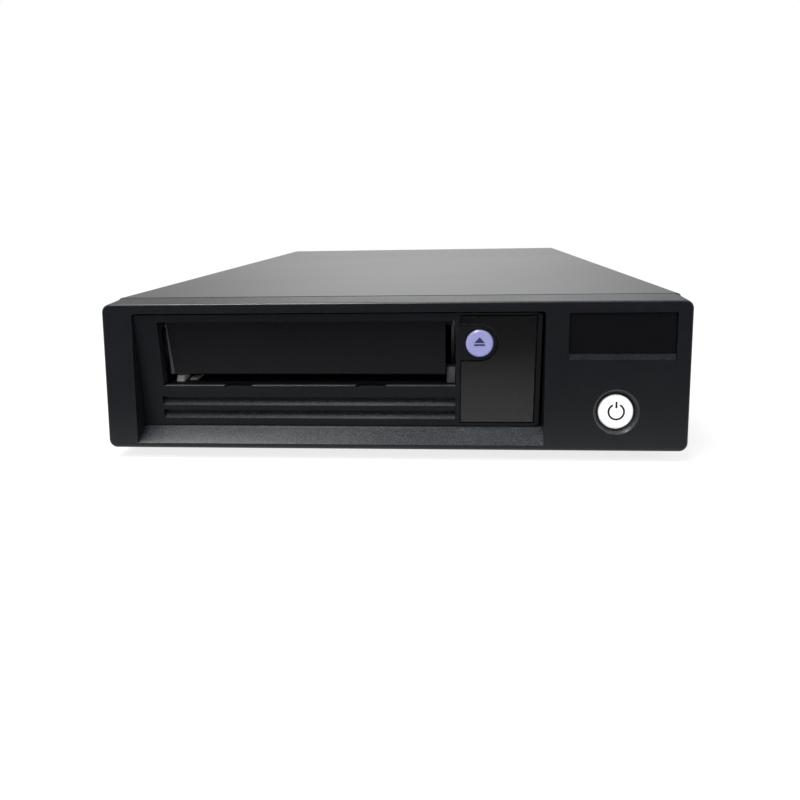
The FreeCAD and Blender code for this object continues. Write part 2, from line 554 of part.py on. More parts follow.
def front_board():
    """Board behind the status window, with eject switch."""
    board = block(27.5, CHASSIS_X1 - CHASSIS_WALL - 0.4, FRONT_BOARD_Y, FRONT_BOARD_Y + BOARD, DECK_Z + 0.4,
                  CHASSIS_RIM - 0.8)
    switch = rod(EJECT_X, FRONT_BOARD_Y - 0.5, EJECT_Z, 1.8, 0.6, "y")
    return board.fuse(switch)


def status_lamps():
    """Three round lamps and a one-character display on the front board."""
    y = FRONT_BOARD_Y - 2.6
    lamps = [rod(43.5, y, z, 1.5, 2.6, "y") for z in (40.0, 34.0, 28.0)]
    return lamps + [block(31.0, 40.0, y, FRONT_BOARD_Y, 19.0, 31.0)]


def cartridge_door():
    """Inward-swinging door with end pins, chamfered edge and stiffening ribs behind."""
    front, back = DOOR_Y - DOOR_THICK / 2, DOOR_Y + DOOR_THICK / 2
    plate = block(DOOR_X0, DOOR_X1, front, back, DOOR_BOTTOM, DOOR_PIVOT_Z)
    barrel = rod(DOOR_X0, DOOR_Y, DOOR_PIVOT_Z, DOOR_THICK / 2, DOOR_X1 - DOOR_X0, "x")
    skin = 0.5
    low = [e for e in plate.Edges if abs(e.CenterOfMass.y - front) < 0.01
           and (e.CenterOfMass.z < DOOR_BOTTOM + 0.1 or e.CenterOfMass.x < DOOR_X0 + 0.1)]
    plate = plate.makeChamfer(skin, low)
    pins = rod(DOOR_X0 - 2.4, DOOR_Y, DOOR_PIVOT_Z, DOOR_PIN, DOOR_X1 - DOOR_X0 + 4.8, "x")
    ribs = [block(x - 0.6, x + 0.6, back - 0.2, back + 0.7, DOOR_BOTTOM + 2, DOOR_PIVOT_Z - 3)
            for x in (DOOR_X0 + 8, SLOT_MID - 1, DOOR_X1 - 8)]
    return fuse(plate, barrel, pins, *ribs)


def slot_guide():
    """Grey end guide beside the door's lower right corner, on the entry guide's floor."""
    foot = block(20.8, 24.0, CHASSIS_Y0 + 0.4, CHASSIS_Y0 + 7.4, ENTRY_TOP, ENTRY_TOP + 6.0)
    corner = [e for e in long_edges(foot, V(0, 0, 1), lambda c: c.y < CHASSIS_Y0 + 1 and c.x < 22)]
    return foot.makeFillet(1.2, corner)


ENTRY_TOP = SLOT_Z0 - 0.2


def entry_guide():
    """Fixed floor that leads from the slot to the tray, on two legs to the deck."""
    floor = block(SLOT_X0 + 0.2, SLOT_X1 - 0.2, CHASSIS_Y0 + 0.1, CARRIAGE_FRONT - 1.3, ENTRY_TOP - 1.2, ENTRY_TOP)
    legs = [block(x, x + 3, CHASSIS_Y0 + 8, CARRIAGE_FRONT - 4, DECK_Z, ENTRY_TOP - 1)
            for x in (SLOT_X0 + 2, SLOT_X1 - 5)]
    return fuse(floor, *legs)


def entry_skids():
    """Two low white skids on the entry floor."""
    return [block(x, x + 2.9, CHASSIS_Y0 + 2.0, CHASSIS_Y0 + 9.0, ENTRY_TOP, ENTRY_TOP + 1.0)
            for x in (SLOT_X0 + 4.0, SLOT_X1 - 15.0)]


# ---- Drive chassis -------------------------------------------------------------------------------
def chassis_base():
    """Cast base: deck plate between side walls, rear wall, board bosses and a cable gap."""
    x0, x1, y0, y1 = CHASSIS_X0, CHASSIS_X1, CHASSIS_Y0, CHASSIS_Y1
    deck = block(x0, x1, y0, y1, DECK_Z - DECK, DECK_Z)
    walls = [block(x0, x0 + CHASSIS_WALL, y0, y1, CHASSIS_Z0, CHASSIS_RIM),
             block(x1 - CHASSIS_WALL, x1, y0, y1, CHASSIS_Z0, CHASSIS_RIM),
             block(x0, x1, y1 - CHASSIS_WALL, y1, DECK_Z - DECK, CHASSIS_RIM)]
    bosses = [rod(x, y, MAIN_BOARD_Z + BOARD, 3.0, DECK_Z - DECK - MAIN_BOARD_Z - BOARD + 0.5)
              for x, y in MAIN_BOARD_BOSSES]
    return fuse(deck, *walls, *bosses)


MAIN_BOARD_Z = CHASSIS_Z0 + 1.2
MAIN_BOARD_BOSSES = ((CHASSIS_X0 + 10, -120.0), (CHASSIS_X1 - 10, -120.0), (CHASSIS_X0 + 10, 30.0),
                     (CHASSIS_X1 - 10, 30.0))


def main_board():
    """Controller board under the deck with its large chips."""
    board = block(CHASSIS_X0 + 4, CHASSIS_X1 - 4, CHASSIS_Y0 + 6, CHASSIS_Y1 + 1.5, MAIN_BOARD_Z, MAIN_BOARD_Z + BOARD)
    chips = [block(x, x + s, y, y + s, MAIN_BOARD_Z + BOARD - 0.1, MAIN_BOARD_Z + BOARD + 1.4)
             for x, y, s in ((-60, -70, 27), (-10, -40, 20), (-50, -10, 14), (5, 5, 14))]
    return fuse(board, *chips)


def rear_connector():
    """Data and power receptacle at the drive's rear."""
    shell = block(-50, -8, CHASSIS_Y1 + 0.0, CHASSIS_Y1 + 8, MAIN_BOARD_Z + BOARD, MAIN_BOARD_Z + BOARD + 7)
    mouth = block(-48, -10, CHASSIS_Y1 + 2, CHASSIS_Y1 + 9, MAIN_BOARD_Z + BOARD + 1.4, MAIN_BOARD_Z + BOARD + 5.6)
    return shell.cut(mouth)


def drive_cover():
    """Flat steel lid of the drive with two stiffening beads."""
    plate = block(CHASSIS_X0, CHASSIS_X1, CHASSIS_Y0, CHASSIS_Y1, CHASSIS_RIM, CHASSIS_Z1)
    beads = [block(x - 4, x + 4, CHASSIS_Y0 + 25, CHASSIS_Y1 - 15, CHASSIS_Z1 - 0.1, CHASSIS_Z1 + 0.9)
             for x in (CHASSIS_X0 + 30, CHASSIS_X1 - 30)]
    beads = [b.makeFillet(0.7, long_edges(b, V(0, 1, 0), lambda c: c.z > CHASSIS_Z1 + 0.5)) for b in beads]
    return fuse(plate, *beads)


def drive_rails():
    """Two folded hat rails between the pan and the drive's side walls."""
    found = []
    for x0 in (CHASSIS_X0, CHASSIS_X1 - 9.0):
        outer = block(x0, x0 + 9.0, CHASSIS_Y0 + 22, CHASSIS_Y1 - 8, PAN_FLOOR, CHASSIS_Z0)
        inner = block(x0 + 1.2, x0 + 7.8, CHASSIS_Y0 + 21, CHASSIS_Y1 - 7, PAN_FLOOR - 1, CHASSIS_Z0 - 1.2)
        found.append(outer.cut(inner))
    return found


# ---- Loader --------------------------------------------------------------------------------------
def loader_rails():
    """Two C-section rails on the deck that hold the carriage's feet."""
    found = []
    for side in (-1, 1):
        outer = CARRIAGE_OUT + 3.6
        outline = [(CARRIAGE_OUT - 1.0, DECK_Z), (outer, DECK_Z), (outer, 26.5), (CARRIAGE_OUT + 0.9, 26.5),
                   (CARRIAGE_OUT + 0.9, 25.5), (CARRIAGE_OUT + 2.5, 25.5), (CARRIAGE_OUT + 2.5, 23.7),
                   (CARRIAGE_OUT - 1.0, 23.7)]
        placed = [(SLOT_MID + side * x, z) for x, z in outline]
        found.append(along_y(placed, CARRIAGE_FRONT - 2, CARRIAGE_REAR + LOADER_STROKE + 4))
    return found


def loader_carriage():
    """Open cage that carries the tray: two sides with feet, a windowed roof and the rack."""
    roof_top = CHASSIS_RIM - RUNNING
    roof = block(SLOT_MID - CARRIAGE_OUT, SLOT_MID + CARRIAGE_OUT, CARRIAGE_FRONT, CARRIAGE_REAR,
                 roof_top - 1.0, roof_top)
    light = block(SLOT_MID - 40, SLOT_MID + 40, CARRIAGE_FRONT + 10, CARRIAGE_REAR - 10, roof_top - 2, roof_top + 1)
    light = light.makeFillet(5.0, long_edges(light, V(0, 0, 1), lambda c: True))
    pieces = [roof.cut(light)]
    for side in (-1, 1):
        wall = sorted((SLOT_MID + side * CARRIAGE_IN, SLOT_MID + side * CARRIAGE_OUT))
        pieces.append(block(*wall, CARRIAGE_FRONT, CARRIAGE_REAR, 24.0, roof_top))
        foot = sorted((SLOT_MID + side * CARRIAGE_IN, SLOT_MID + side * (CARRIAGE_OUT + 2.2)))
        pieces.append(block(*foot, CARRIAGE_FRONT, CARRIAGE_REAR, 24.0, 25.2))
    root = RACK_PITCH_X - 1.2 * MODULE
    pieces.append(block(SLOT_MID + CARRIAGE_OUT - 0.2, root, CARRIAGE_FRONT + 18, CARRIAGE_REAR, RACK_Z0, RACK_Z1))
    pitch = math.pi * MODULE
    slots = [block(*sorted((SLOT_MID + side * (CARRIAGE_IN - 1), SLOT_MID + side * (CARRIAGE_OUT + 1))), y, y + 3.2,
                   36.0, 44.4) for side in (-1, 1) for y in GUIDE_PIN_YS]
    body = fuse(*pieces).cut(Part.makeCompound(slots))
    teeth = []
    wide = math.pi * MODULE / 4 + 1.2 * MODULE * 0.364 - BACKLASH / 2
    slim = math.pi * MODULE / 4 - 0.9 * MODULE * 0.364 - BACKLASH / 2
    tip = RACK_PITCH_X + 0.9 * MODULE
    outline = [(root - 0.8, GEAR_Y - 15 * pitch - wide)]
    for n in range(-15, 13):
        middle = GEAR_Y + n * pitch
        outline += [(root, middle - wide), (tip, middle - slim), (tip, middle + slim), (root, middle + wide)]
    outline.append((root - 0.8, GEAR_Y + 12 * pitch + wide))
    return fuse(body, along_z(outline, RACK_Z0, RACK_Z1))


GUIDE_PIN_YS = (-118.0, -78.0)


def cartridge_tray():
    """Tray that drops inside the carriage: side walls, ledges, rear stop and guide pins in the cage's slots."""
    rear = CARRIAGE_REAR - 0.5
    front = CARRIAGE_FRONT + 0.5
    top = CARTRIDGE_FLOOR + CARTRIDGE_HEIGHT + 0.9
    pieces = []
    for side in (-1, 1):
        wall = sorted((SLOT_MID + side * TRAY_IN, SLOT_MID + side * TRAY_OUT))
        pieces.append(block(*wall, front, rear, CARTRIDGE_FLOOR - 1.2, top))
        ledge = sorted((SLOT_MID + side * (TRAY_IN - 11), SLOT_MID + side * TRAY_OUT))
        pieces.append(block(*ledge, front, rear, CARTRIDGE_FLOOR - 1.2, CARTRIDGE_FLOOR - 0.2))
        pieces += [rod(SLOT_MID + side * (TRAY_IN + 0.2) - (0 if side > 0 else 1.9 + TRAY_WALL - 0.8), y + 1.6, 42.5,
                       1.45, 1.9 + TRAY_WALL - 0.8, "x") for y in GUIDE_PIN_YS]
    pieces.append(block(SLOT_MID - TRAY_OUT, SLOT_MID + TRAY_OUT, rear - 3.5, rear, CARTRIDGE_FLOOR - 1.2,
                        CARTRIDGE_FLOOR - 0.2))
    return fuse(*pieces)


def loader_motor():
    """Small upright motor with a D-free round shaft."""
    can = spun([(0, 0), (5.5, 0), (5.5, 8.9), (4.9, 9.5), (0.7, 9.5), (0.7, 17.0), (0, 17.0)], GEAR_X, MOTOR_Y,
               DECK_Z)
    return can


def motor_pinion():
    """Pinion on the loader motor's shaft."""
    blank = gear(GEAR_X, MOTOR_Y, WHEEL_Z0, WHEEL_Z1, MOTOR_TEETH, 270 + 180 / MOTOR_TEETH)
    return blank.cut(rod(GEAR_X, MOTOR_Y, WHEEL_Z0 - 1, 0.7 + BEARING, 6))


def loader_gear():
    """Compound gear: a rack pinion below a larger wheel."""
    low = gear(GEAR_X, GEAR_Y, RACK_Z0, RACK_Z1, PINION_TEETH, 180 + 180 / PINION_TEETH)
    high = gear(GEAR_X, GEAR_Y, WHEEL_Z0, WHEEL_Z1, WHEEL_TEETH, 90)
    hub = rod(GEAR_X, GEAR_Y, RACK_Z0 - 0.2, 3.2, WHEEL_Z1 - RACK_Z0 + 0.2)
    return fuse(low, high, hub).cut(rod(GEAR_X, GEAR_Y, RACK_Z0 - 2, 1.0 + BEARING, 12))


def gear_post():
    """Shouldered post that the compound gear turns on."""
    outline = [(0, 0), (2.4, 0), (2.4, RACK_Z0 - 0.4 - DECK_Z), (1.0, RACK_Z0 - 0.4 - DECK_Z),
               (1.0, WHEEL_Z1 + 1 - DECK_Z), (0, WHEEL_Z1 + 1 - DECK_Z)]
    return spun(outline, GEAR_X, GEAR_Y, DECK_Z)


# ---- Reels, rollers, head and threader -----------------------------------------------------------
def supply_motor():
    """Stator and fixed axle under the supply clutch."""
    return spun([(0, 0), (17, 0), (17, 2.6), (15.5, 3.2), (2.0, 3.2), (2.0, 6.2), (0, 6.2)], CLUTCH_X, CLUTCH_Y,
                DECK_Z)


def supply_clutch():
    """Clutch that turns the cartridge's reel, with a ring of face teeth."""
    disc = spun([(2.0 + BEARING, 3.5), (CLUTCH_RADIUS, 3.5), (CLUTCH_RADIUS, 4.9), (6, 4.9), (6, 5.9),
                 (2.0 + BEARING, 5.9)], CLUTCH_X, CLUTCH_Y, DECK_Z)
    teeth = []
    for n in range(12):
        tooth = along_x([(-1.3, 0), (1.3, 0), (0.5, 1.3), (-0.5, 1.3)], CLUTCH_RADIUS - 4.0, CLUTCH_RADIUS - 0.6)
        tooth.rotate(V(0, 0, 0), V(0, 0, 1), 30 * n)
        tooth.translate(V(CLUTCH_X, CLUTCH_Y, DECK_Z + 4.8))
        teeth.append(tooth)
    return fuse(disc, *teeth)


def reel_motor():
    """Stator and fixed axle under the take-up reel."""
    return spun([(0, 0), (22, 0), (22, 5.0), (20, 6.0), (3.0, 6.0), (3.0, 21.0), (0, 21.0)], REEL_X, REEL_Y, DECK_Z)


def takeup_reel():
    """Flanged reel with lightening holes and a slot in the hub for the leader block."""
    z0, z1 = REEL_Z0 - DECK_Z, REEL_Z1 - DECK_Z
    reel = spun([(3.0 + BEARING, z0), (REEL_RADIUS, z0), (REEL_RADIUS, z0 + 1.0), (REEL_HUB, z0 + 1.4),
                 (REEL_HUB, z1 - 1.4), (REEL_RADIUS, z1 - 1.0), (REEL_RADIUS, z1), (3.0 + BEARING, z1)],
                REEL_X, REEL_Y, DECK_Z)
    notch = block(REEL_X + 9, REEL_X + REEL_HUB + 1, REEL_Y - 4.4, REEL_Y + 4.4, REEL_Z0 + 1.4, REEL_Z1 + 1)
    return reel.cut(notch)


def guide_roller(x, y):
    """Flanged tape guide roller."""
    height = ROLLER_Z1 - ROLLER_Z0
    outline = [(ROLLER_PIN + BEARING, 0), (ROLLER_FLANGE, 0), (ROLLER_FLANGE, 1.2), (ROLLER_RADIUS, 1.7),
               (ROLLER_RADIUS, height - 1.7), (ROLLER_FLANGE, height - 1.2), (ROLLER_FLANGE, height),
               (ROLLER_PIN + BEARING, height)]
    return spun(outline, x, y, ROLLER_Z0)


def roller_pins():
    """Shouldered pins of the guide rollers."""
    low, high = ROLLER_Z0 - 0.3 - DECK_Z, ROLLER_Z1 + 1.5 - DECK_Z
    outline = [(0, 0), (2.6, 0), (2.6, low), (ROLLER_PIN, low), (ROLLER_PIN, high), (0, high)]
    return [spun(outline, x, y, DECK_Z) for x, y in ROLLER_PLACES]


def head_motor():
    """Flat stepper under the head's lead screw."""
    return rod(HEAD_X, HEAD_Y, DECK_Z, 5.0, 2.4)


def head_posts():
    """Two guide posts of the head."""
    return [rod(HEAD_X, HEAD_Y + dy, DECK_Z, 1.2, 31.0) for dy in (-6.5, 6.5)]


def lead_screw():
    """Lead screw that lifts the head."""
    return rod(HEAD_X, HEAD_Y, DECK_Z + 2.5, 1.5, 28.0)


def tape_head():
    """Head block with its rounded face, bored for the posts and the screw."""
    z0, z1 = 24.4, 41.6
    body = block(HEAD_X - 2.6, HEAD_X + 4, HEAD_Y - 9, HEAD_Y + 9, z0, z1)
    crown = rod(HEAD_X - 1.2, HEAD_Y, z0 + 1.5, 3.2, z1 - z0 - 3)
    bores = [rod(HEAD_X, HEAD_Y + dy, z0 - 1, 1.2 + BEARING, 20) for dy in (-6.5, 6.5)]
    bores.append(rod(HEAD_X, HEAD_Y, z0 - 1, 1.5 + BEARING, 20))
    return fuse(body, crown).cut(Part.makeCompound(bores))


def arm_post():
    """Post of the threader arm."""
    return spun([(0, 0), (3.0, 0), (3.0, 25.4), (1.5, 25.4), (1.5, 29.0), (0, 29.0)], ARM_X, ARM_Y, DECK_Z)


def threader_arm():
    """Arm that draws the tape's leader round to the reel."""
    z = DECK_Z + 25.8
    hub = rod(ARM_X, ARM_Y, z, 4.2, 2.6)
    end = rod(ARM_X + ARM_REACH, ARM_Y, z, 2.8, 1.6)
    beam = along_z([(ARM_X, ARM_Y - 3.4), (ARM_X + ARM_REACH, ARM_Y - 2.4), (ARM_X + ARM_REACH, ARM_Y + 2.4),
                    (ARM_X, ARM_Y + 3.4)], z, z + 1.6)
    arm = fuse(hub, end, beam).cut(rod(ARM_X, ARM_Y, z - 1, 1.5 + BEARING, 6))
    arm.rotate(V(ARM_X, ARM_Y, 0), V(0, 0, 1), ARM_ANGLE)
    return arm


def leader_block():
    """Leader block that hangs from the threader arm's end."""
    z = DECK_Z + 25.8
    block_x = ARM_X + ARM_REACH
    piece = block(block_x - 2.6, block_x + 2.6, ARM_Y - 3.4, ARM_Y + 3.4, 27.2, z)
    piece = piece.makeFillet(1.0, long_edges(piece, V(0, 0, 1), lambda c: True))
    piece.rotate(V(ARM_X, ARM_Y, 0), V(0, 0, 1), ARM_ANGLE)
    return piece


# ---- Rear electronics ----------------------------------------------------------------------------
def fan_frame():
    """Fan housing with a round duct, corner holes, four struts and a fixed axle."""
    y0, y1 = REAR_WALL - SHEET - FAN_DEPTH, REAR_WALL - SHEET
    half = FAN_SIZE / 2
    frame = block(FAN_X - half, FAN_X + half, y0, y1, FAN_Z - half, FAN_Z + half)
    frame = frame.makeFillet(2.5, long_edges(frame, V(0, 1, 0), lambda c: True))
    cuts = [rod(FAN_X, y0 - 1, FAN_Z, FAN_BORE, FAN_DEPTH + 2, "y")]
    cuts += [rod(x, y0 - 1, z, 1.75, FAN_DEPTH + 2, "y") for x, z in fan_screw_places()]
    frame = frame.cut(Part.makeCompound(cuts))
    plate = rod(FAN_X, y1 - 2, FAN_Z, FAN_HUB, 2, "y")
    axle = rod(FAN_X, y0 + 3, FAN_Z, FAN_SHAFT, FAN_DEPTH - 4, "y")
    struts = []
    for turn in range(4):
        strut = block(FAN_HUB - 1, FAN_BORE + 0.3, y1 - 2, y1, -1.0, 1.0)
        strut.rotate(V(0, 0, 0), V(0, 1, 0), 90 * turn + 20)
        strut.translate(V(FAN_X, 0, FAN_Z))
        struts.append(strut)
    return fuse(frame, plate, axle, *struts)


def fan_rotor():
    """Fan hub with seven pitched blades."""
    y0, y1 = REAR_WALL - SHEET - FAN_DEPTH + 1.2, REAR_WALL - SHEET - 3.2
    hub = rod(FAN_X, y0, FAN_Z, FAN_HUB, y1 - y0, "y")
    blades = []
    for n in range(7):
        outline = [(y0 + 1, -3.6), (y0 + 2.2, -3.9), (y1 - 1, 3.6), (y1 - 2.4, 3.9)]
        blade = along_x(outline, FAN_HUB - 1, FAN_BORE - 0.8)
        blade.rotate(V(0, 0, 0), V(0, 1, 0), 360 * n / 7)
        blade.translate(V(FAN_X, 0, FAN_Z))
        blades.append(blade)
    rotor = fuse(hub, *blades)
    return rotor.cut(rod(FAN_X, y0 - 1, FAN_Z, FAN_SHAFT + BEARING, FAN_DEPTH, "y"))


def mains_inlet():
    """Mains inlet: flanged body with a six-sided mouth, and its three blades."""
    wall = REAR_WALL
    flange = block(INLET_X - 15.5, INLET_X + 15.5, wall, wall + REAR_PROUD, INLET_Z - 12, INLET_Z + 12)
    flange = flange.makeFillet(2.0, long_edges(flange, V(0, 1, 0), lambda c: True))
    body = block(INLET_X - 13.6, INLET_X + 13.6, wall - 20, wall + 0.5, INLET_Z - 9.9, INLET_Z + 9.9)
    mouth = [(-12, -8.2), (12, -8.2), (12, 3.4), (7.4, 8.2), (-7.4, 8.2), (-12, 3.4)]
    cavity = along_y([(INLET_X + x, INLET_Z + z) for x, z in mouth], wall - 15, wall + REAR_PROUD + 1)
    blades = [block(INLET_X + x - 1, INLET_X + x + 1, wall - 17, wall - 1, INLET_Z + z - 2, INLET_Z + z + 2)
              for x, z in ((-7, -2), (0, 2), (7, -2))]
    shell = fuse(flange, body).cut(cavity)
    return shell, [b.cut(block(-200, 200, wall - 30, wall - 15, 0, 60)) for b in blades]


def sas_adapter_board():
    """Adapter board on two posts, behind the rear ports."""
    board = block(-8, 46, REAR_WALL - 45, REAR_WALL - SHEET - 0.4, PORT_Z0 - BOARD, PORT_Z0)
    posts = [rod(x, y, PAN_FLOOR, 2.5, PORT_Z0 - BOARD - PAN_FLOOR)
             for x, y in ((-4.5, REAR_WALL - 40), (42.5, REAR_WALL - 40), (-4.5, REAR_WALL - 6),
                          (42.5, REAR_WALL - 6))]
    return board, posts


def sas_ports():
    """Two shielded receptacles that show through the rear wall."""
    found = []
    for x in PORT_XS:
        half = PORT_WIDTH / 2
        cage = block(x - half, x + half, REAR_WALL - 26, REAR_WALL + 0.8, PORT_Z0, PORT_Z0 + PORT_HEIGHT)
        mouth = block(x - half + 0.8, x + half - 0.8, REAR_WALL - 18, REAR_WALL + 2, PORT_Z0 + 0.8,
                      PORT_Z0 + PORT_HEIGHT - 0.8)
        tongue = block(x - half + 3, x + half - 3, REAR_WALL - 18.5, REAR_WALL - 4, PORT_Z0 + 4.0, PORT_Z0 + 5.4)
        found.append(cage.cut(mouth).fuse(tongue))
    return found


def supply_board():
    """Power supply board and its standoffs."""
    board = block(SUPPLY_X0, SUPPLY_X1, SUPPLY_Y0, SUPPLY_Y1, SUPPLY_Z, SUPPLY_Z + BOARD)
    posts = [rod(x, y, PAN_FLOOR, 2.6, SUPPLY_Z - PAN_FLOOR)
             for x in (SUPPLY_X0 + 4, SUPPLY_X1 - 4) for y in (SUPPLY_Y0 + 4, SUPPLY_Y1 - 4)]
    return board, posts


def supply_transformer():
    """Transformer: wound bobbin between ferrite legs."""
    z = SUPPLY_Z + BOARD
    core = block(-72, -44, 84, 108, z, z + 24)
    windows = [block(-68, -62, 83, 109, z + 5, z + 19), block(-54, -48, 83, 109, z + 5, z + 19)]
    coil = spun([(6.5, 0), (11.5, 0), (11.5, 13), (6.5, 13)], -58, 96, z + 5.5)
    core = core.cut(Part.makeCompound(windows)).cut(rod(-58, 96, z + 5, 12, 14)).fuse(rod(-58, 96, z + 4, 6.2, 16))
    return core, coil


def supply_capacitors():
    """Three can capacitors with crimped shoulders."""
    z = SUPPLY_Z + BOARD
    found = []
    for x, y, radius, height in ((-86, 78, 8, 28), (-86, 98, 8, 28), (-36, 78, 5, 18)):
        found.append(spun([(0, 0), (radius, 0), (radius, 1.8), (radius - 0.5, 2.4), (radius, 3.0),
                           (radius, height - 0.8), (radius - 0.8, height), (0, height)], x, y, z))
    return found


def supply_heatsink():
    """Extruded heatsink with fins."""
    z = SUPPLY_Z + BOARD
    web, tip = SUPPLY_X1 - 14.0, SUPPLY_X1 - 5.0
    outline = [(web - 2, z), (web, z)]
    for n in range(5):
        low = z + 3 + 5 * n
        outline += [(web, low), (tip, low), (tip, low + 1.2), (web, low + 1.2)]
    outline += [(web, z + 26), (web - 2, z + 26)]
    return along_y(outline, 88, 120)


def internal_cables():
    """Data cable from the drive's rear connector to the adapter board, with its two plugs."""
    z = MAIN_BOARD_Z + BOARD + 3.5
    plug = block(-47, -20, CHASSIS_Y1 + 3, CHASSIS_Y1 + 16, z - 1.8, z + 1.8)
    head = block(2, 22, REAR_WALL - 44, REAR_WALL - 34, PORT_Z0, PORT_Z0 + 6)
    tail = cable([(-22.4, CHASSIS_Y1 + 16, z), (-22.4, CHASSIS_Y1 + 27, z), (-16, CHASSIS_Y1 + 36, z + 5),
                  (-3, CHASSIS_Y1 + 42, PORT_Z0 - 2), (12, CHASSIS_Y1 + 50, PORT_Z0 + 3),
                  (12, REAR_WALL - 44, PORT_Z0 + 3)], 2.2)
    return plug, tail, head


for name, maker in {
    "front_fascia": front_fascia, "badge_plate": badge_plate, "top_cover": top_cover, "base_pan": base_pan,
    "power_button": power_button, "power_button_spring": power_button_spring, "drive_bezel": drive_bezel,
    "status_window": status_window, "eject_button": eject_button, "eject_button_spring": eject_button_spring,
    "front_board": front_board, "cartridge_door": cartridge_door, "slot_guide": slot_guide,
    "entry_guide": entry_guide, "chassis_base": chassis_base, "main_board": main_board,
    "rear_connector": rear_connector, "drive_cover": drive_cover, "loader_carriage": loader_carriage,
    "cartridge_tray": cartridge_tray, "loader_motor": loader_motor, "motor_pinion": motor_pinion,
    "loader_gear": loader_gear, "gear_post": gear_post, "supply_motor": supply_motor,
    "supply_clutch": supply_clutch, "reel_motor": reel_motor, "takeup_reel": takeup_reel,
    "head_motor": head_motor, "lead_screw": lead_screw, "tape_head": tape_head, "arm_post": arm_post,
    "threader_arm": threader_arm, "leader_block": leader_block, "fan_frame": fan_frame,
    "fan_rotor": fan_rotor, "supply_heatsink": supply_heatsink,
}.items():
    save(name, maker())

for name, maker in {
    "rubber_feet": rubber_feet, "case_screws": case_screws, "status_lamps": status_lamps,
    "entry_skids": entry_skids, "drive_rails": drive_rails, "loader_rails": loader_rails,
    "roller_pins": roller_pins, "head_posts": head_posts, "sas_ports": sas_ports,
    "supply_capacitors": supply_capacitors, "internal_cables": internal_cables, "supply_transformer": supply_transformer,
}.items():
    save(name, *maker())

for number, place in enumerate(ROLLER_PLACES, 1):
    save(f"guide_roller_{number}", guide_roller(*place))

switch_board, switch_screws = power_switch_board()
save("power_switch_board", switch_board)
save("switch_board_screws", *switch_screws)
inlet_shell, inlet_blades = mains_inlet()
save("mains_inlet", inlet_shell)
save("inlet_blades", *inlet_blades)
adapter, adapter_posts = sas_adapter_board()
save("sas_adapter_board", adapter)
power_board, power_posts = supply_board()
save("supply_board", power_board)
save("board_standoffs", *(adapter_posts + power_posts))
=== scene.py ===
import json
import logging
import math
from dataclasses import dataclass
from enum import Enum
from typing import Iterable, Optional, Sequence, Union

import bmesh
import bpy
from mathutils import Matrix, Vector
from mathutils.bvhtree import BVHTree


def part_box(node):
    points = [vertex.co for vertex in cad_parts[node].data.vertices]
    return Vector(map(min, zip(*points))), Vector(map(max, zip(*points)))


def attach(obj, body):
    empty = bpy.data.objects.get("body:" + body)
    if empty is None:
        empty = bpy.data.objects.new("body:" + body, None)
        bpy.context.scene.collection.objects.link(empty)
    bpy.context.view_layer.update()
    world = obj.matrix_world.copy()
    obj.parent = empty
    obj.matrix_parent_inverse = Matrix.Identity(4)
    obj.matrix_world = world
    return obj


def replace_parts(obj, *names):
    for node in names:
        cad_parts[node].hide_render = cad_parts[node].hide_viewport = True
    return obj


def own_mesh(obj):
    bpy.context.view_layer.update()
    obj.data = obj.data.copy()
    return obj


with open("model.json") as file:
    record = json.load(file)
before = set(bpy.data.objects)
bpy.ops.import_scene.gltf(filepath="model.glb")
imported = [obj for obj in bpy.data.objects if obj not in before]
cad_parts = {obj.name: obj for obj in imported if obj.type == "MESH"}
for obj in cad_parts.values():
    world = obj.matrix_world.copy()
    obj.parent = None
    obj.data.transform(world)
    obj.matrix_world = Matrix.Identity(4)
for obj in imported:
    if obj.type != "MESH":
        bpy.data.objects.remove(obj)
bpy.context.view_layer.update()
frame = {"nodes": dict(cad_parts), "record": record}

MM = 0.001
WELD = 0.001 * MM
NEAR = 0.02 * MM
RIGHT = Vector((1.0, 0.0, 0.0))
WHITE = (1.0, 1.0, 1.0, 1.0)
Colour = Sequence[float]
Span = Sequence[float]
log = logging.getLogger("tape_drive")


# ---- Shader maths
@dataclass(frozen=True)
class Grain:
    """One noise: features per metre, octaves and the weight of the finer ones."""

    scale: float
    detail: float = 2.0
    roughness: float = 0.5


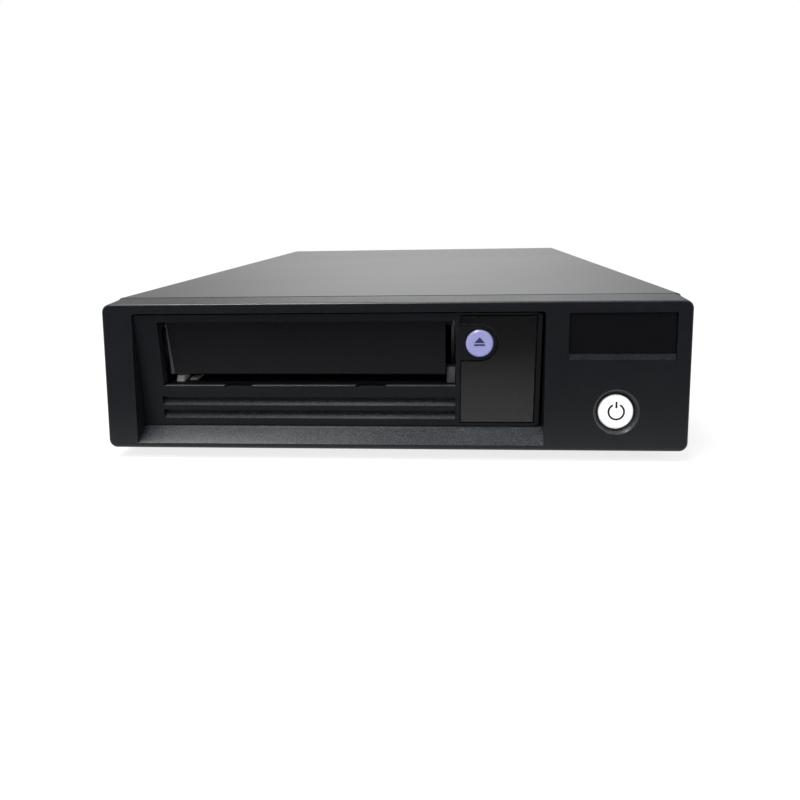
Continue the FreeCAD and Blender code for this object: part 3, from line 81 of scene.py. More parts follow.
class Bench:
    """One node tree, with one maker for every node."""

    def __init__(self, name: str) -> None:
        """Start the tree of a material called name, with the place on the piece in metres."""
        self.material = bpy.data.materials.new(name)
        self.material.use_nodes = True
        self.tree = self.material.node_tree
        self.tree.nodes.clear()
        self.place = self.node("ShaderNodeTexCoord", output="Object")

    @classmethod
    def of_tree(cls, tree: bpy.types.NodeTree) -> "Bench":
        """Bench on a tree that exists, such as the world's, emptied first."""
        bench = cls.__new__(cls)
        bench.tree = tree
        tree.nodes.clear()
        return bench

    def node(self, kind: str, settings: Optional[dict] = None, inputs: Optional[dict] = None,
             output: Union[int, str] = 0) -> Optional["Level"]:
        """Add one node.

        Args:
            kind: The node's type.
            settings: Properties, set before the sockets.
            inputs: Socket name or number to a value or a Level.
            output: Which of its outputs is wanted.

        Returns:
            The chosen output, or nothing where the node has none.
        """
        made = self.tree.nodes.new(kind)
        for key, value in (settings or {}).items():
            setattr(made, key, value)
        for key, value in (inputs or {}).items():
            if isinstance(value, Level):
                self.tree.links.new(value.socket, made.inputs[key])
            else:
                made.inputs[key].default_value = value
        return Level(self, made.outputs[output]) if made.outputs else None

    def parts(self, vector: "Level") -> list:
        """The x, y and z of a vector."""
        first = self.node("ShaderNodeSeparateXYZ", None, {0: vector})
        return [first.sibling(i) for i in range(3)]

    def noise(self, grain: Grain, place: Optional["Level"] = None) -> "Level":
        """Noise level between about 0 and 1, read on the piece or at another place."""
        return self.node("ShaderNodeTexNoise", {"noise_dimensions": "3D"}, {
            "Vector": place or self.place, "Scale": grain.scale, "Detail": grain.detail,
            "Roughness": grain.roughness})

    def blend(self, share: "Level", first: Union["Level", Colour], second: Colour) -> "Level":
        """Colour between two colours.

        Args:
            share: 0 gives the first, 1 the second.
            first: Linear red, green and blue, or a changing colour.
            second: Linear red, green and blue.

        Returns:
            The mixed colour.
        """
        under = first if isinstance(first, Level) else (*first, 1.0)
        return self.node("ShaderNodeMix", {"data_type": "RGBA"}, {0: share, 6: under, 7: (*second, 1.0)}, 2)

    def bump(self, height: "Level", distance: float) -> "Level":
        """Normal raised by a level of 0 to 1, where 1 is distance metres high."""
        return self.node("ShaderNodeBump", None, {"Height": height, "Distance": distance, "Strength": 1.0})

    def surface(self, sockets: dict) -> bpy.types.Material:
        """Finish the tree with a Principled surface of these sockets, and return the material."""
        self.end(self.node("ShaderNodeBsdfPrincipled", None, sockets))
        return self.material

    def end(self, shader: "Level", kind: str = "ShaderNodeOutputMaterial") -> None:
        """Lead a shader to the tree's output."""
        self.node(kind, None, {"Surface": shader})


class Level:
    """A shader socket that takes part in Python expressions."""

    def __init__(self, bench: Bench, socket: bpy.types.NodeSocket) -> None:
        """Wrap a socket of a bench's tree."""
        self.bench = bench
        self.socket = socket

    def _maths(self, operation: str, *terms: Union["Level", float]) -> "Level":
        """Add one Math node."""
        return self.bench.node("ShaderNodeMath", {"operation": operation}, dict(enumerate(terms)))

    def __add__(self, other: Union["Level", float]) -> "Level":
        """Sum."""
        return self._maths("ADD", self, other)

    __radd__ = __add__

    def __mul__(self, other: Union["Level", float]) -> "Level":
        """Product."""
        return self._maths("MULTIPLY", self, other)

    def __sub__(self, other: Union["Level", float]) -> "Level":
        """Difference."""
        return self._maths("SUBTRACT", self, other)

    def __rsub__(self, other: float) -> "Level":
        """Difference from a number."""
        return self._maths("SUBTRACT", other, self)

    def __truediv__(self, other: Union["Level", float]) -> "Level":
        """Quotient."""
        return self._maths("DIVIDE", self, other)

    def sibling(self, output: Union[int, str]) -> "Level":
        """Another output of the same node."""
        return Level(self.bench, self.socket.node.outputs[output])

    def squared(self) -> "Level":
        """The level times itself."""
        return self * self

    def swing(self, width: float) -> "Level":
        """A level of 0 to 1 turned into a change about 0, width wide."""
        return (self - 0.5) * width

    def largest(self, other: "Level") -> "Level":
        """The larger of two levels."""
        return self._maths("MAXIMUM", self, other)

    def clip(self, low: float, high: float) -> "Level":
        """Level rescaled so that low is 0 and high is 1, and held there."""
        return self.bench.node("ShaderNodeMapRange", {"clamp": True},
                               {"Value": self, "From Min": low, "From Max": high})


# ---- Finishes
def scaled(colour: Colour, factor: float, lift: float = 0.0) -> list:
    """Colour with each part times a factor, and lifted."""
    return [part * factor + lift for part in colour]


@dataclass(frozen=True)
class Moulded:
    """Moulded plastic: spark-eroded grain, speckle and handling marks, with a painted glint on faces that look
    up and a painted highlight on slanted faces that look left.
    """

    colour: Colour
    speckle: Colour
    roughness: float = 0.45
    grain: float = 2600.0
    depth: float = 0.00004
    gloss: float = 0.35
    speckle_share: float = 0.5
    sheen: float = 0.0
    # Share of the painted glint: a lighter colour on faces that look up, standing in for overhead light
    # catching the grain.
    painted_glint: float = 0.0
    # Share of the painted highlight: a lighter colour on slanted faces that look left, standing in for light
    # from the left.
    painted_edge_highlight: float = 0.0
    sheen_roughness: float = 0.24
    grain_finish: Span = (3.0, 0.6)
    grit_span: Span = (0.48, 0.78)
    marks: Grain = Grain(38.0, 4.0)
    marks_swing: float = 0.16
    grain_swing: float = 0.2
    # Colour, noise, range, floor and facing range of the painted glint on faces that look up.
    painted_glint_colour: Colour = (0.085, 0.098, 0.105)
    painted_glint_grain: Grain = Grain(2000.0, 1.5, 0.7)
    painted_glint_span: Span = (0.46, 0.60)
    painted_glint_floor: float = 0.1
    painted_glint_facing_span: Span = (0.2, 0.75)
    # Colour, facing ranges, floor and swing of the painted highlight on slanted faces that look left.
    painted_edge_highlight_colour: Colour = (0.110, 0.112, 0.122)
    painted_highlight_side_span: Span = (0.3, 0.6)
    painted_highlight_upright_span: Span = (0.9, 0.99)
    painted_edge_highlight_floor: float = 0.7
    painted_edge_highlight_swing: float = 0.5

    def make(self, name: str) -> bpy.types.Material:
        """Build the material called name."""
        bench = Bench(name)
        fine = bench.noise(Grain(self.grain, *self.grain_finish))
        cloud = bench.noise(self.marks)
        colour = bench.blend(fine.clip(*self.grit_span) * self.speckle_share, self.colour, self.speckle)
        rough = self.roughness + cloud.swing(self.marks_swing) + fine.swing(self.grain_swing)
        if self.painted_glint or self.painted_edge_highlight:
            side, _, upward = bench.parts(bench.node("ShaderNodeNewGeometry", output="Normal"))
        # Painted glint: a lighter colour laid by fine noise on faces that look up, where overhead light would
        # catch the grain.
        if self.painted_glint:
            glint = bench.noise(self.painted_glint_grain).clip(*self.painted_glint_span)
            glint = glint * (1.0 - self.painted_glint_floor) + self.painted_glint_floor
            share = upward.clip(*self.painted_glint_facing_span) * glint * self.painted_glint
            colour = bench.blend(share, colour, self.painted_glint_colour)
        # Painted highlight: a lighter colour on slanted faces that look left, where light from the left falls,
        # its strength varying with the marks noise.
        if self.painted_edge_highlight:
            painted_highlight_mask = (0.0 - side).clip(*self.painted_highlight_side_span) * (1.0 - side.squared().clip(*self.painted_highlight_upright_span))
            painted_highlight_strength = self.painted_edge_highlight_floor + cloud * self.painted_edge_highlight_swing
            colour = bench.blend(painted_highlight_mask * self.painted_edge_highlight * painted_highlight_strength, colour, self.painted_edge_highlight_colour)
        return bench.surface({
            "Base Color": colour, "Roughness": rough, "Specular IOR Level": self.gloss,
            "Coat Weight": self.sheen, "Coat Roughness": self.sheen_roughness,
            "Normal": bench.bump(fine, self.depth)})


@dataclass(frozen=True)
class Painted:
    """Powder-coated sheet: a satin coat with orange peel."""

    colour: Colour
    roughness: float = 0.36
    coat: float = 0.3
    coat_roughness: float = 0.3
    gloss: float = 0.6
    peel: Grain = Grain(900.0)
    fleck: Grain = Grain(3400.0)
    marks: Grain = Grain(9.0, 3.0)
    fleck_gain: float = 1.35
    fleck_lift: float = 0.003
    fleck_span: Span = (0.4, 0.75)
    fleck_share: float = 0.6
    marks_swing: float = 0.10
    fleck_swing: float = 0.12
    peel_share: float = 0.7
    depth: float = 0.00003

    def make(self, name: str) -> bpy.types.Material:
        """Build the material called name."""
        bench = Bench(name)
        peel, fine, cloud = (bench.noise(grain) for grain in (self.peel, self.fleck, self.marks))
        lighter = scaled(self.colour, self.fleck_gain, self.fleck_lift)
        return bench.surface({
            "Base Color": bench.blend(fine.clip(*self.fleck_span) * self.fleck_share, self.colour, lighter),
            "Roughness": self.roughness + cloud.swing(self.marks_swing) + fine.swing(self.fleck_swing),
            "Coat Weight": self.coat, "Coat Roughness": self.coat_roughness, "Specular IOR Level": self.gloss,
            "Normal": bench.bump(peel * self.peel_share + fine * (1.0 - self.peel_share), self.depth)})


@dataclass(frozen=True)
class Polished:
    """Smooth plastic with faint hairline scuffs."""

    colour: Colour
    roughness: float = 0.2
    gloss: float = 0.5
    scuffs: Grain = Grain(260.0, 5.0, 0.7)
    marks: Grain = Grain(60.0, 3.0)
    marks_span: Span = (0.3, 0.7)
    marks_share: float = 0.5
    deeper: float = 0.9
    scuff_swing: float = 0.12
    depth: float = 0.000006

    def make(self, name: str) -> bpy.types.Material:
        """Build the material called name."""
        bench = Bench(name)
        scuff, cloud = (bench.noise(grain) for grain in (self.scuffs, self.marks))
        return bench.surface({
            "Base Color": bench.blend(cloud.clip(*self.marks_span) * self.marks_share, self.colour,
                                      scaled(self.colour, self.deeper)),
            "Roughness": self.roughness + scuff.swing(self.scuff_swing), "Specular IOR Level": self.gloss,
            "Normal": bench.bump(scuff, self.depth)})


@dataclass(frozen=True)
class Smoked:
    """Smoky clear sheet that lets a little show through."""

    colour: Colour
    cover: float = 0.88
    roughness: float = 0.16
    gloss: float = 0.5
    haze: Grain = Grain(1500.0)
    marks: Grain = Grain(45.0, 3.0)
    deeper: float = 0.8
    cover_swing: float = 0.03
    haze_swing: float = 0.08
    depth: float = 0.000004

    def make(self, name: str) -> bpy.types.Material:
        """Build the material called name."""
        bench = Bench(name)
        fine, cloud = (bench.noise(grain) for grain in (self.haze, self.marks))
        return bench.surface({
            "Base Color": bench.blend(cloud, self.colour, scaled(self.colour, self.deeper)),
            "Alpha": self.cover + cloud.swing(self.cover_swing), "Specular IOR Level": self.gloss,
            "Roughness": self.roughness + fine.swing(self.haze_swing),
            "Normal": bench.bump(fine, self.depth)})


@dataclass(frozen=True)
class Metal:
    """Bare or plated metal with drawn or turned lines along one axis."""

    colour: Colour
    roughness: float = 0.32
    lines: Sequence[float] = (60.0, 900.0, 900.0)
    pitting: float = 0.00001
    metallic: float = 1.0
    streaks: Grain = Grain(4.0, 3.0)
    marks: Grain = Grain(70.0, 4.0)
    marks_span: Span = (0.35, 0.75)
    marks_share: float = 0.5
    darker: float = 0.72
    streak_swing: float = 0.2
    marks_swing: float = 0.1

    def make(self, name: str) -> bpy.types.Material:
        """Build the material called name."""
        bench = Bench(name)
        drawn = bench.node("ShaderNodeMapping", None, {"Vector": bench.place, "Scale": tuple(self.lines)})
        streak, cloud = bench.noise(self.streaks, drawn), bench.noise(self.marks)
        return bench.surface({
            "Base Color": bench.blend(cloud.clip(*self.marks_span) * self.marks_share, self.colour,
                                      scaled(self.colour, self.darker)),
            "Roughness": self.roughness + streak.swing(self.streak_swing) + cloud.swing(self.marks_swing),
            "Metallic": self.metallic, "Normal": bench.bump(streak, self.pitting)})


@dataclass(frozen=True)
class Laminate:
    """Circuit board: solder mask over faint tracks, with a woven edge tone."""

    mask: Colour = (0.010, 0.085, 0.035)
    track: Colour = (0.020, 0.150, 0.060)
    roughness: float = 0.32
    track_scale: float = 240.0
    track_gap: float = 0.16
    track_size: Sequence[float] = (1.7, 0.4)
    track_shift: float = 0.37
    weave: Grain = Grain(1200.0)
    weave_swing: float = 0.2
    track_share: float = 0.6
    depth: float = 0.00002

    def make(self, name: str) -> bpy.types.Material:
        """Build the material called name."""
        bench = Bench(name)
        runs = bench.node("ShaderNodeTexBrick", {"offset": self.track_shift}, {
            "Vector": bench.place, "Scale": self.track_scale, "Mortar Size": self.track_gap,
            "Brick Width": self.track_size[0], "Row Height": self.track_size[1]}, output=1)
        weave = bench.noise(self.weave)
        return bench.surface({
            "Base Color": bench.blend(runs, self.mask, self.track),
            "Roughness": self.roughness + weave.swing(self.weave_swing),
            "Normal": bench.bump(runs * self.track_share + weave * (1.0 - self.track_share), self.depth)})


DRAWN_Y = (900.0, 60.0, 900.0)
TURNED_Z = (900.0, 900.0, 60.0)
FINISHES = {
    # The fascia and bezel plastics carry the painted glint on faces that look up.
    "fascia_plastic": Moulded((0.0036, 0.0043, 0.0060), (0.018, 0.021, 0.026), 0.34, 2600.0, 0.00002,
                              gloss=0.40, speckle_share=0.36, sheen=0.14, painted_glint=0.42),
    "bezel_plastic": Moulded((0.0040, 0.0044, 0.0060), (0.015, 0.017, 0.021), 0.38, 2500.0, 0.00002,
                             gloss=0.15, speckle_share=0.36, painted_glint=0.24),
    # The door plastic carries the painted highlight on its slanted faces that look left.
    "door_plastic": Moulded((0.0030, 0.0028, 0.0046), (0.0042, 0.0039, 0.0062), 0.32, 1800.0, 0.000003,
                            gloss=0.22, speckle_share=0.3, painted_edge_highlight=1.0),
    "badge_gloss": Polished((0.0034, 0.0032, 0.0044), 0.16, 0.24),
    "cover_paint": Painted((0.030, 0.0298, 0.0302)),
    "pan_paint": Painted((0.014, 0.0142, 0.0150), 0.42, 0.15),
    "button_white": Polished((0.80, 0.81, 0.81), 0.30),
    "button_violet": Polished((0.218, 0.223, 0.425), 0.24),
    "smoky_acrylic": Smoked((0.0050, 0.0048, 0.0056)),
    "guide_grey": Moulded((0.080, 0.080, 0.090), (0.120, 0.120, 0.132), 0.5),
    "board_green": Laminate(),
    "cast_alloy": Metal((0.56, 0.57, 0.58), 0.45, (500.0, 500.0, 500.0), 0.00003),
    "connector_black": Moulded((0.012, 0.012, 0.013), (0.030, 0.030, 0.032), 0.42, 3000.0, 0.00002),
    "drive_steel": Metal((0.58, 0.585, 0.59), 0.38, DRAWN_Y),
    "motor_steel": Metal((0.60, 0.60, 0.61), 0.26, TURNED_Z),
    "spring_steel": Metal((0.55, 0.55, 0.56), 0.24),
    "gear_nylon": Polished((0.70, 0.68, 0.60), 0.42),
    "reel_plastic": Moulded((0.16, 0.165, 0.175), (0.20, 0.205, 0.215), 0.4),
    "head_ceramic": Polished((0.05, 0.05, 0.055), 0.12),
    "fan_black": Moulded((0.010, 0.010, 0.011), (0.022, 0.022, 0.024), 0.48, 2200.0, 0.00002),
    "heatsink_alloy": Metal((0.60, 0.61, 0.62), 0.4, DRAWN_Y),
    "foot_rubber": Moulded((0.010, 0.010, 0.011), (0.030, 0.030, 0.032), 0.72, 1600.0, 0.00005, 0.25),
    "screw_steel": Metal((0.10, 0.10, 0.11), 0.34, (700.0, 700.0, 700.0)),
    "lamp_resin": Polished((0.30, 0.36, 0.32), 0.12),
    "port_steel": Metal((0.66, 0.66, 0.65), 0.28, DRAWN_Y),
    "capacitor_sleeve": Polished((0.015, 0.015, 0.045), 0.25),
    "cable_black": Moulded((0.010, 0.010, 0.011), (0.018, 0.018, 0.019), 0.5, 1500.0, 0.00001),
    "transformer_core": Moulded((0.030, 0.030, 0.032), (0.050, 0.050, 0.052), 0.6, 1400.0, 0.00004),
    "roller_steel": Metal((0.66, 0.67, 0.69), 0.14, TURNED_Z),
    "blade_brass": Metal((0.72, 0.66, 0.50), 0.25, DRAWN_Y),
    "sign_grey": Polished((0.010, 0.011, 0.013), 0.5, 0.2),
    "sign_violet": Polished((0.020, 0.022, 0.075), 0.5, 0.2),
    "skid_white": Polished((0.80, 0.80, 0.79), 0.4),
    "contact_gold": Metal((0.83, 0.62, 0.26), 0.22, DRAWN_Y),
}


class Wardrobe:
    """Makes each material once and hands it out."""

    def __init__(self) -> None:
        """Start with nothing made."""
        self.made: dict = {}

    def get(self, name: str) -> bpy.types.Material:
        """Material of a finish, made at its first use."""
        if name not in self.made:
            self.made[name] = FINISHES[name].make(name)
        return self.made[name]


WARDROBE = Wardrobe()


# ---- Mesh helpers
class Way(Enum):
    """Which way a fastener's head faces."""

    LEFT = (-1.0, 0.0, 0.0)
    RIGHT = (1.0, 0.0, 0.0)
    REAR = (0.0, 1.0, 0.0)
    DOWN = (0.0, 0.0, -1.0)


def linked(name: str, data: bpy.types.ID) -> bpy.types.Object:
    """Put an object with this data in the scene."""
    made = bpy.data.objects.new(name, data)
    bpy.context.scene.collection.objects.link(made)
    return made


def new_piece(name: str, mesh: bpy.types.Mesh, slot: str, body: str = "enclosure",
              finish: Optional[str] = None) -> bpy.types.Object:
    """Put a finished mesh in the scene as a piece.

    Args:
        name: The piece's name.
        mesh: Its mesh, already in place.
        slot: The record slot whose finish it takes where no other is given.
        body: The CAD body that it rides on.
        finish: Its finish, where that isn't the slot's own.

    Returns:
        The object.
    """
    mesh.name = name
    mesh.materials.clear()
    mesh.materials.append(WARDROBE.get(finish or slot))
    piece = linked(name, mesh)
    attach(piece, body)
    return piece


def as_mesh(bm: bmesh.types.BMesh) -> bpy.types.Mesh:
    """Turn a bmesh into a mesh whose faces point outwards."""
    bmesh.ops.recalc_face_normals(bm, faces=bm.faces)
    mesh = bpy.data.meshes.new("shape")
    bm.to_mesh(mesh)
    bm.free()
    return mesh


def welded(node: str) -> bmesh.types.BMesh:
    """Copy of a CAD node's surface with its doubled points joined."""
    bm = bmesh.new()
    bm.from_mesh(frame["nodes"][node].data)
    bmesh.ops.remove_doubles(bm, verts=bm.verts, dist=WELD)
    return bm


def corners(points: Iterable[Vector]) -> tuple:
    """Lowest and highest corner of some points."""
    known = list(points)
    return tuple(Vector([pick(point[i] for point in known) for i in range(3)]) for pick in (min, max))


def band(bm: bmesh.types.BMesh, first: list, second: list) -> list:
    """Close the strip between two rings of as many points, and return its faces."""
    return [bm.faces.new(quad) for quad in zip(first, second, second[1:] + second[:1], first[1:] + first[:1])]


def prism(bm: bmesh.types.BMesh, ends: Sequence[Sequence[Sequence[float]]], edge: float) -> None:
    """Add a solid between two end outlines, its edges broken.

    Args:
        bm: The mesh to add to.
        ends: The two outlines, as many points in each.
        edge: Width of the broken edges.
    """
    rings = [[bm.verts.new(point) for point in end] for end in ends]
    faces = [bm.faces.new(rings[0]), bm.faces.new(rings[1][::-1])] + band(bm, *rings)
    edges = list(dict.fromkeys(side for face in faces for side in face.edges))
    bmesh.ops.bevel(bm, geom=edges, offset=edge, segments=2, affect="EDGES")


def islands(node: str) -> list:
    """Boxes of the separate solids in a CAD node, in order of their lowest corners.

    Args:
        node: The CAD node.

    Returns:
        One pair of lowest and highest corners for each solid.
    """
    bm = welded(node)
    left, boxes = set(bm.verts), []
    while left:
        group, waiting = set(), [left.pop()]
        while waiting:
            vertex = waiting.pop()
            group.add(vertex)
            for edge in vertex.link_edges:
                other = edge.other_vert(vertex)
                if other in left:
                    left.remove(other)
                    waiting.append(other)
        boxes.append(corners(vertex.co for vertex in group))
    bm.free()
    return sorted(boxes, key=lambda box: tuple(box[0]))


def joint_row(name: str) -> dict:
    """A joint's row in the record."""
    return next(row for row in frame["record"]["behaviour"]["joints"] if row["name"] == name)


class Face:
    """A round cap's outer surface, on which signs are laid."""

    reach = 20.0 * MM

    def __init__(self, node: str, inward: Vector) -> None:
        """Find the cap's middle and its surface.

        Args:
            node: The CAD node of the cap.
            inward: Direction into the case.
        """
        mesh = frame["nodes"][node].data
        depths = [vertex.co.dot(inward) for vertex in mesh.vertices]
        foremost = min(depths) + NEAR
        low, high = corners(vertex.co for vertex, depth in zip(mesh.vertices, depths) if depth < foremost)
        self.tree = BVHTree.FromPolygons([vertex.co for vertex in mesh.vertices],
                                         [tuple(face.vertices) for face in mesh.polygons])
        self.inward = inward.normalized()
        self.up = RIGHT.cross(self.inward)
        self.start = (low + high) / 2 - self.inward * self.reach / 2

    def point(self, across: float, up: float, lift: float) -> Vector:
        """Point of the surface, lifted off it.

        Args:
            across: Distance to the right of the middle.
            up: Distance above the middle.
            lift: Height over the surface.

        Returns:
            The point.
        """
        start = self.start + RIGHT * across + self.up * up
        hit = self.tree.ray_cast(start, self.inward, self.reach)[0]
        return hit - self.inward * lift

    def inlay(self, bm: bmesh.types.BMesh, rows: Sequence[Sequence[tuple]], proud: float,
              sunk: float) -> None:
        """Add a thin slab that follows the surface.

        Args:
            bm: The mesh to add to.
            rows: Rows of points across and up, as many in each.
            proud: Height of the slab over the surface.
            sunk: Depth of its underside.
        """
        last, end = len(rows) - 1, len(rows[0]) - 1
        tops, lows = ([[bm.verts.new(self.point(*spot, lift)) for spot in row] for row in rows]
                      for lift in (proud, -sunk))
        for i in range(last):
            for j in range(end):
                for grid in (tops, lows):
                    bm.faces.new((grid[i][j], grid[i][j + 1], grid[i + 1][j + 1], grid[i + 1][j]))
        rim = [(0, j) for j in range(end + 1)] + [(i, end) for i in range(1, last + 1)]
        rim += [(last, j) for j in range(end - 1, -1, -1)] + [(i, 0) for i in range(last - 1, 0, -1)]
        for (i, j), (k, m) in zip(rim, rim[1:] + rim[:1]):
            bm.faces.new((tops[i][j], tops[k][m], lows[k][m], lows[i][j]))


class Repeat:
    """Geometry Nodes that set a pattern on points and end in plain geometry."""

    def __init__(self, name: str, pattern: bpy.types.Mesh, material: bpy.types.Material) -> None:
        """Build the tree.

        Args:
            name: The tree's name.
            pattern: The mesh that is repeated; it faces +Z.
            material: The finish set on the result.
        """
        self.pattern = linked(name + "_pattern", pattern)
        self.tree = bpy.data.node_groups.new(name, "GeometryNodeTree")
        sockets = self.tree.interface
        for side in ("INPUT", "OUTPUT"):
            sockets.new_socket("Geometry", in_out=side, socket_type="NodeSocketGeometry")
        self.spread, self.seed = (
            sockets.new_socket(label, in_out="INPUT", socket_type=kind).identifier
            for label, kind in (("Turn Spread", "NodeSocketFloat"), ("Seed", "NodeSocketInt")))
        entry, leave = self._add("NodeGroupInput"), self._add("NodeGroupOutput")
        info = self._add("GeometryNodeObjectInfo")
        info.inputs["Object"].default_value = self.pattern
        info.inputs["As Instance"].default_value = True
        way = self._add("GeometryNodeInputNamedAttribute", data_type="FLOAT_VECTOR")
        way.inputs["Name"].default_value = "way"
        align = self._add("FunctionNodeAlignRotationToVector", axis="Z")
        chance = self._add("FunctionNodeRandomValue", data_type="FLOAT")
        twist = self._add("ShaderNodeCombineXYZ")
        as_turn = self._add("FunctionNodeEulerToRotation")
        spin = self._add("FunctionNodeRotateRotation", rotation_space="LOCAL")
        onto = self._add("GeometryNodeInstanceOnPoints")
        plain = self._add("GeometryNodeRealizeInstances")
        dress = self._add("GeometryNodeSetMaterial")
        dress.inputs["Material"].default_value = material
        for source, target in (
                (way.outputs[0], align.inputs["Vector"]), (align.outputs[0], spin.inputs["Rotation"]),
                (entry.outputs["Seed"], chance.inputs["Seed"]), (chance.outputs[1], twist.inputs["Z"]),
                (entry.outputs["Turn Spread"], chance.inputs[3]), (twist.outputs[0], as_turn.inputs[0]),
                (as_turn.outputs[0], spin.inputs["Rotate By"]), (spin.outputs[0], onto.inputs["Rotation"]),
                (entry.outputs["Geometry"], onto.inputs["Points"]), (onto.outputs[0], plain.inputs[0]),
                (info.outputs["Geometry"], onto.inputs["Instance"]),
                (plain.outputs[0], dress.inputs["Geometry"]), (dress.outputs[0], leave.inputs[0])):
            self.tree.links.new(source, target)

    def _add(self, kind: str, **settings: str) -> bpy.types.Node:
        """Add one node with its settings."""
        made = self.tree.nodes.new(kind)
        for key, value in settings.items():
            setattr(made, key, value)
        return made

    def grow(self, places: Sequence[tuple], spread: float = 0.0, seed: int = 7) -> bpy.types.Mesh:
        """Set the pattern on places and drop the pattern and the tree.

        Args:
            places: Pairs of a point and the direction that the pattern faces there.
            spread: Greatest extra turn about its own axis, in radians.
            seed: Seed of those turns.

        Returns:
            One plain mesh.
        """
        mesh = bpy.data.meshes.new("places")
        mesh.from_pydata([tuple(point) for point, _ in places], [], [])
        ways = mesh.attributes.new("way", "FLOAT_VECTOR", "POINT")
        for row, (_, way) in zip(ways.data, places):
            row.vector = way
        carrier = linked("places", mesh)
        modifier = carrier.modifiers.new("repeat", "NODES")
        modifier.node_group = self.tree
        for identifier, value in ((self.spread, spread), (self.seed, seed)):
            modifier[identifier] = value
        result = bpy.data.meshes.new_from_object(carrier.evaluated_get(bpy.context.evaluated_depsgraph_get()))
        carrier.modifiers.clear()
        for spare in (carrier, self.pattern):
            bpy.data.objects.remove(spare)
        bpy.data.node_groups.remove(self.tree)
        return result


# ---- Sub-assemblies
@dataclass
class CarriedParts:
    """The CAD pieces that keep their own shape and get their finish here."""

    def build(self) -> None:
        """Give every node the material of its slot."""
        slots = {row["node"]: row["material_slot"] for row in frame["record"]["subparts"]}
        for node, piece in frame["nodes"].items():
            for place in piece.material_slots:
                place.material = WARDROBE.get(slots[node])


@dataclass
class Sign:
    """Printed sign on a push button's cap."""

    proud: float = 0.05 * MM
    sunk: float = 0.15 * MM
    steps: int = 8

    def bar(self, face: Face, bm: bmesh.types.BMesh, heights: Span, widths: Span) -> None:
        """Add an upright bar or wedge.

        Args:
            face: The surface.
            bm: The mesh to add to.
            heights: Its lower and upper edge over the middle.
            widths: Its width at those two edges.
        """
        (low, high), (width_low, width_high) = heights, widths
        rows = []
        for i in range(self.steps + 1):
            share = i / self.steps
            half = (width_low + (width_high - width_low) * share) / 2
            rows.append([(half * (2 * j / self.steps - 1), low + (high - low) * share)
                         for j in range(self.steps + 1)])
        face.inlay(bm, rows, self.proud, self.sunk)


@dataclass
class StandbySign(Sign):
    """Open ring and upright bar on the power button."""

    radius: float = 2.72 * MM
    stroke: float = 0.70 * MM
    gap_deg: float = 27.0
    bar_heights: Span = (1.3 * MM, 3.7 * MM)
    ring_steps: int = 72

    def build(self) -> None:
        """Make the sign and set it on its button."""
        face = Face("power_button", Vector(joint_row("power_button_press")["axis"]))
        bm = bmesh.new()
        rows = []
        for step in range(self.ring_steps + 1):
            turn = math.radians(90 + self.gap_deg + (360 - 2 * self.gap_deg) * step / self.ring_steps)
            rows.append([((self.radius + reach) * math.cos(turn), (self.radius + reach) * math.sin(turn))
                         for reach in (-self.stroke / 2, 0.0, self.stroke / 2)])
        face.inlay(bm, rows, self.proud, self.sunk)
        self.bar(face, bm, self.bar_heights, (self.stroke, self.stroke))
        new_piece("standby_sign", as_mesh(bm), "button_white", "power_button", "sign_grey")


@dataclass
class EjectSign(Sign):
    """Wedge over a bar on the eject button."""

    width: float = 3.9 * MM
    tip: float = 0.12 * MM
    wedge_heights: Span = (0.2 * MM, 2.25 * MM)
    bar_heights: Span = (-0.85 * MM, -0.2 * MM)

    def build(self) -> None:
        """Make the sign and set it on its button."""
        face = Face("eject_button", Vector((0.0, 1.0, 0.0)))
        bm = bmesh.new()
        self.bar(face, bm, self.wedge_heights, (self.width, self.tip))
        self.bar(face, bm, self.bar_heights, (self.width, self.width))
        new_piece("eject_sign", as_mesh(bm), "button_violet", "eject_button", "sign_violet")


@dataclass
class StatusPlate:
    """Smoky plate set in the bezel with a fine gap all round, its front edges broken."""

    gap: float = 0.28 * MM
    housing: float = 6.55 * MM
    edge: float = 0.2 * MM
    edge_profile: float = 0.6
    arc_steps: int = 28

    def build(self) -> None:
        """Make the plate in place of the plain solid."""
        low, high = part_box("status_window")
        button_low, button_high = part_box("eject_button")
        across, up = ((button_low[i] + button_high[i]) / 2 for i in (0, 2))
        x0, x1, z0, z1 = low[0] + self.gap, high[0] - self.gap, low[2] + self.gap, high[2] - self.gap
        outline = [(x0, z0), (x1, z0), (x1, z1), (x0, z1), (x0, up + self.housing)]
        for step in range(self.arc_steps + 1):
            turn = math.radians(90 - 180 * step / self.arc_steps)
            outline.append((across + self.housing * math.cos(turn), up + self.housing * math.sin(turn)))
        outline.append((x0, up - self.housing))
        bm = bmesh.new()
        front = bm.faces.new([bm.verts.new((x, low[1], z)) for x, z in outline])
        back = bmesh.ops.extrude_face_region(bm, geom=[front])["geom"]
        bmesh.ops.translate(bm, verts=[v for v in back if isinstance(v, bmesh.types.BMVert)],
                            vec=(0.0, high[1] - low[1], 0.0))
        rim = [edge for edge in bm.edges if all(abs(vertex.co.y - low[1]) < NEAR for vertex in edge.verts)]
        bmesh.ops.bevel(bm, geom=rim, offset=self.edge, segments=2, affect="EDGES", profile=self.edge_profile)
        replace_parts(new_piece("smoky_plate", as_mesh(bm), "smoky_acrylic"), "status_window")


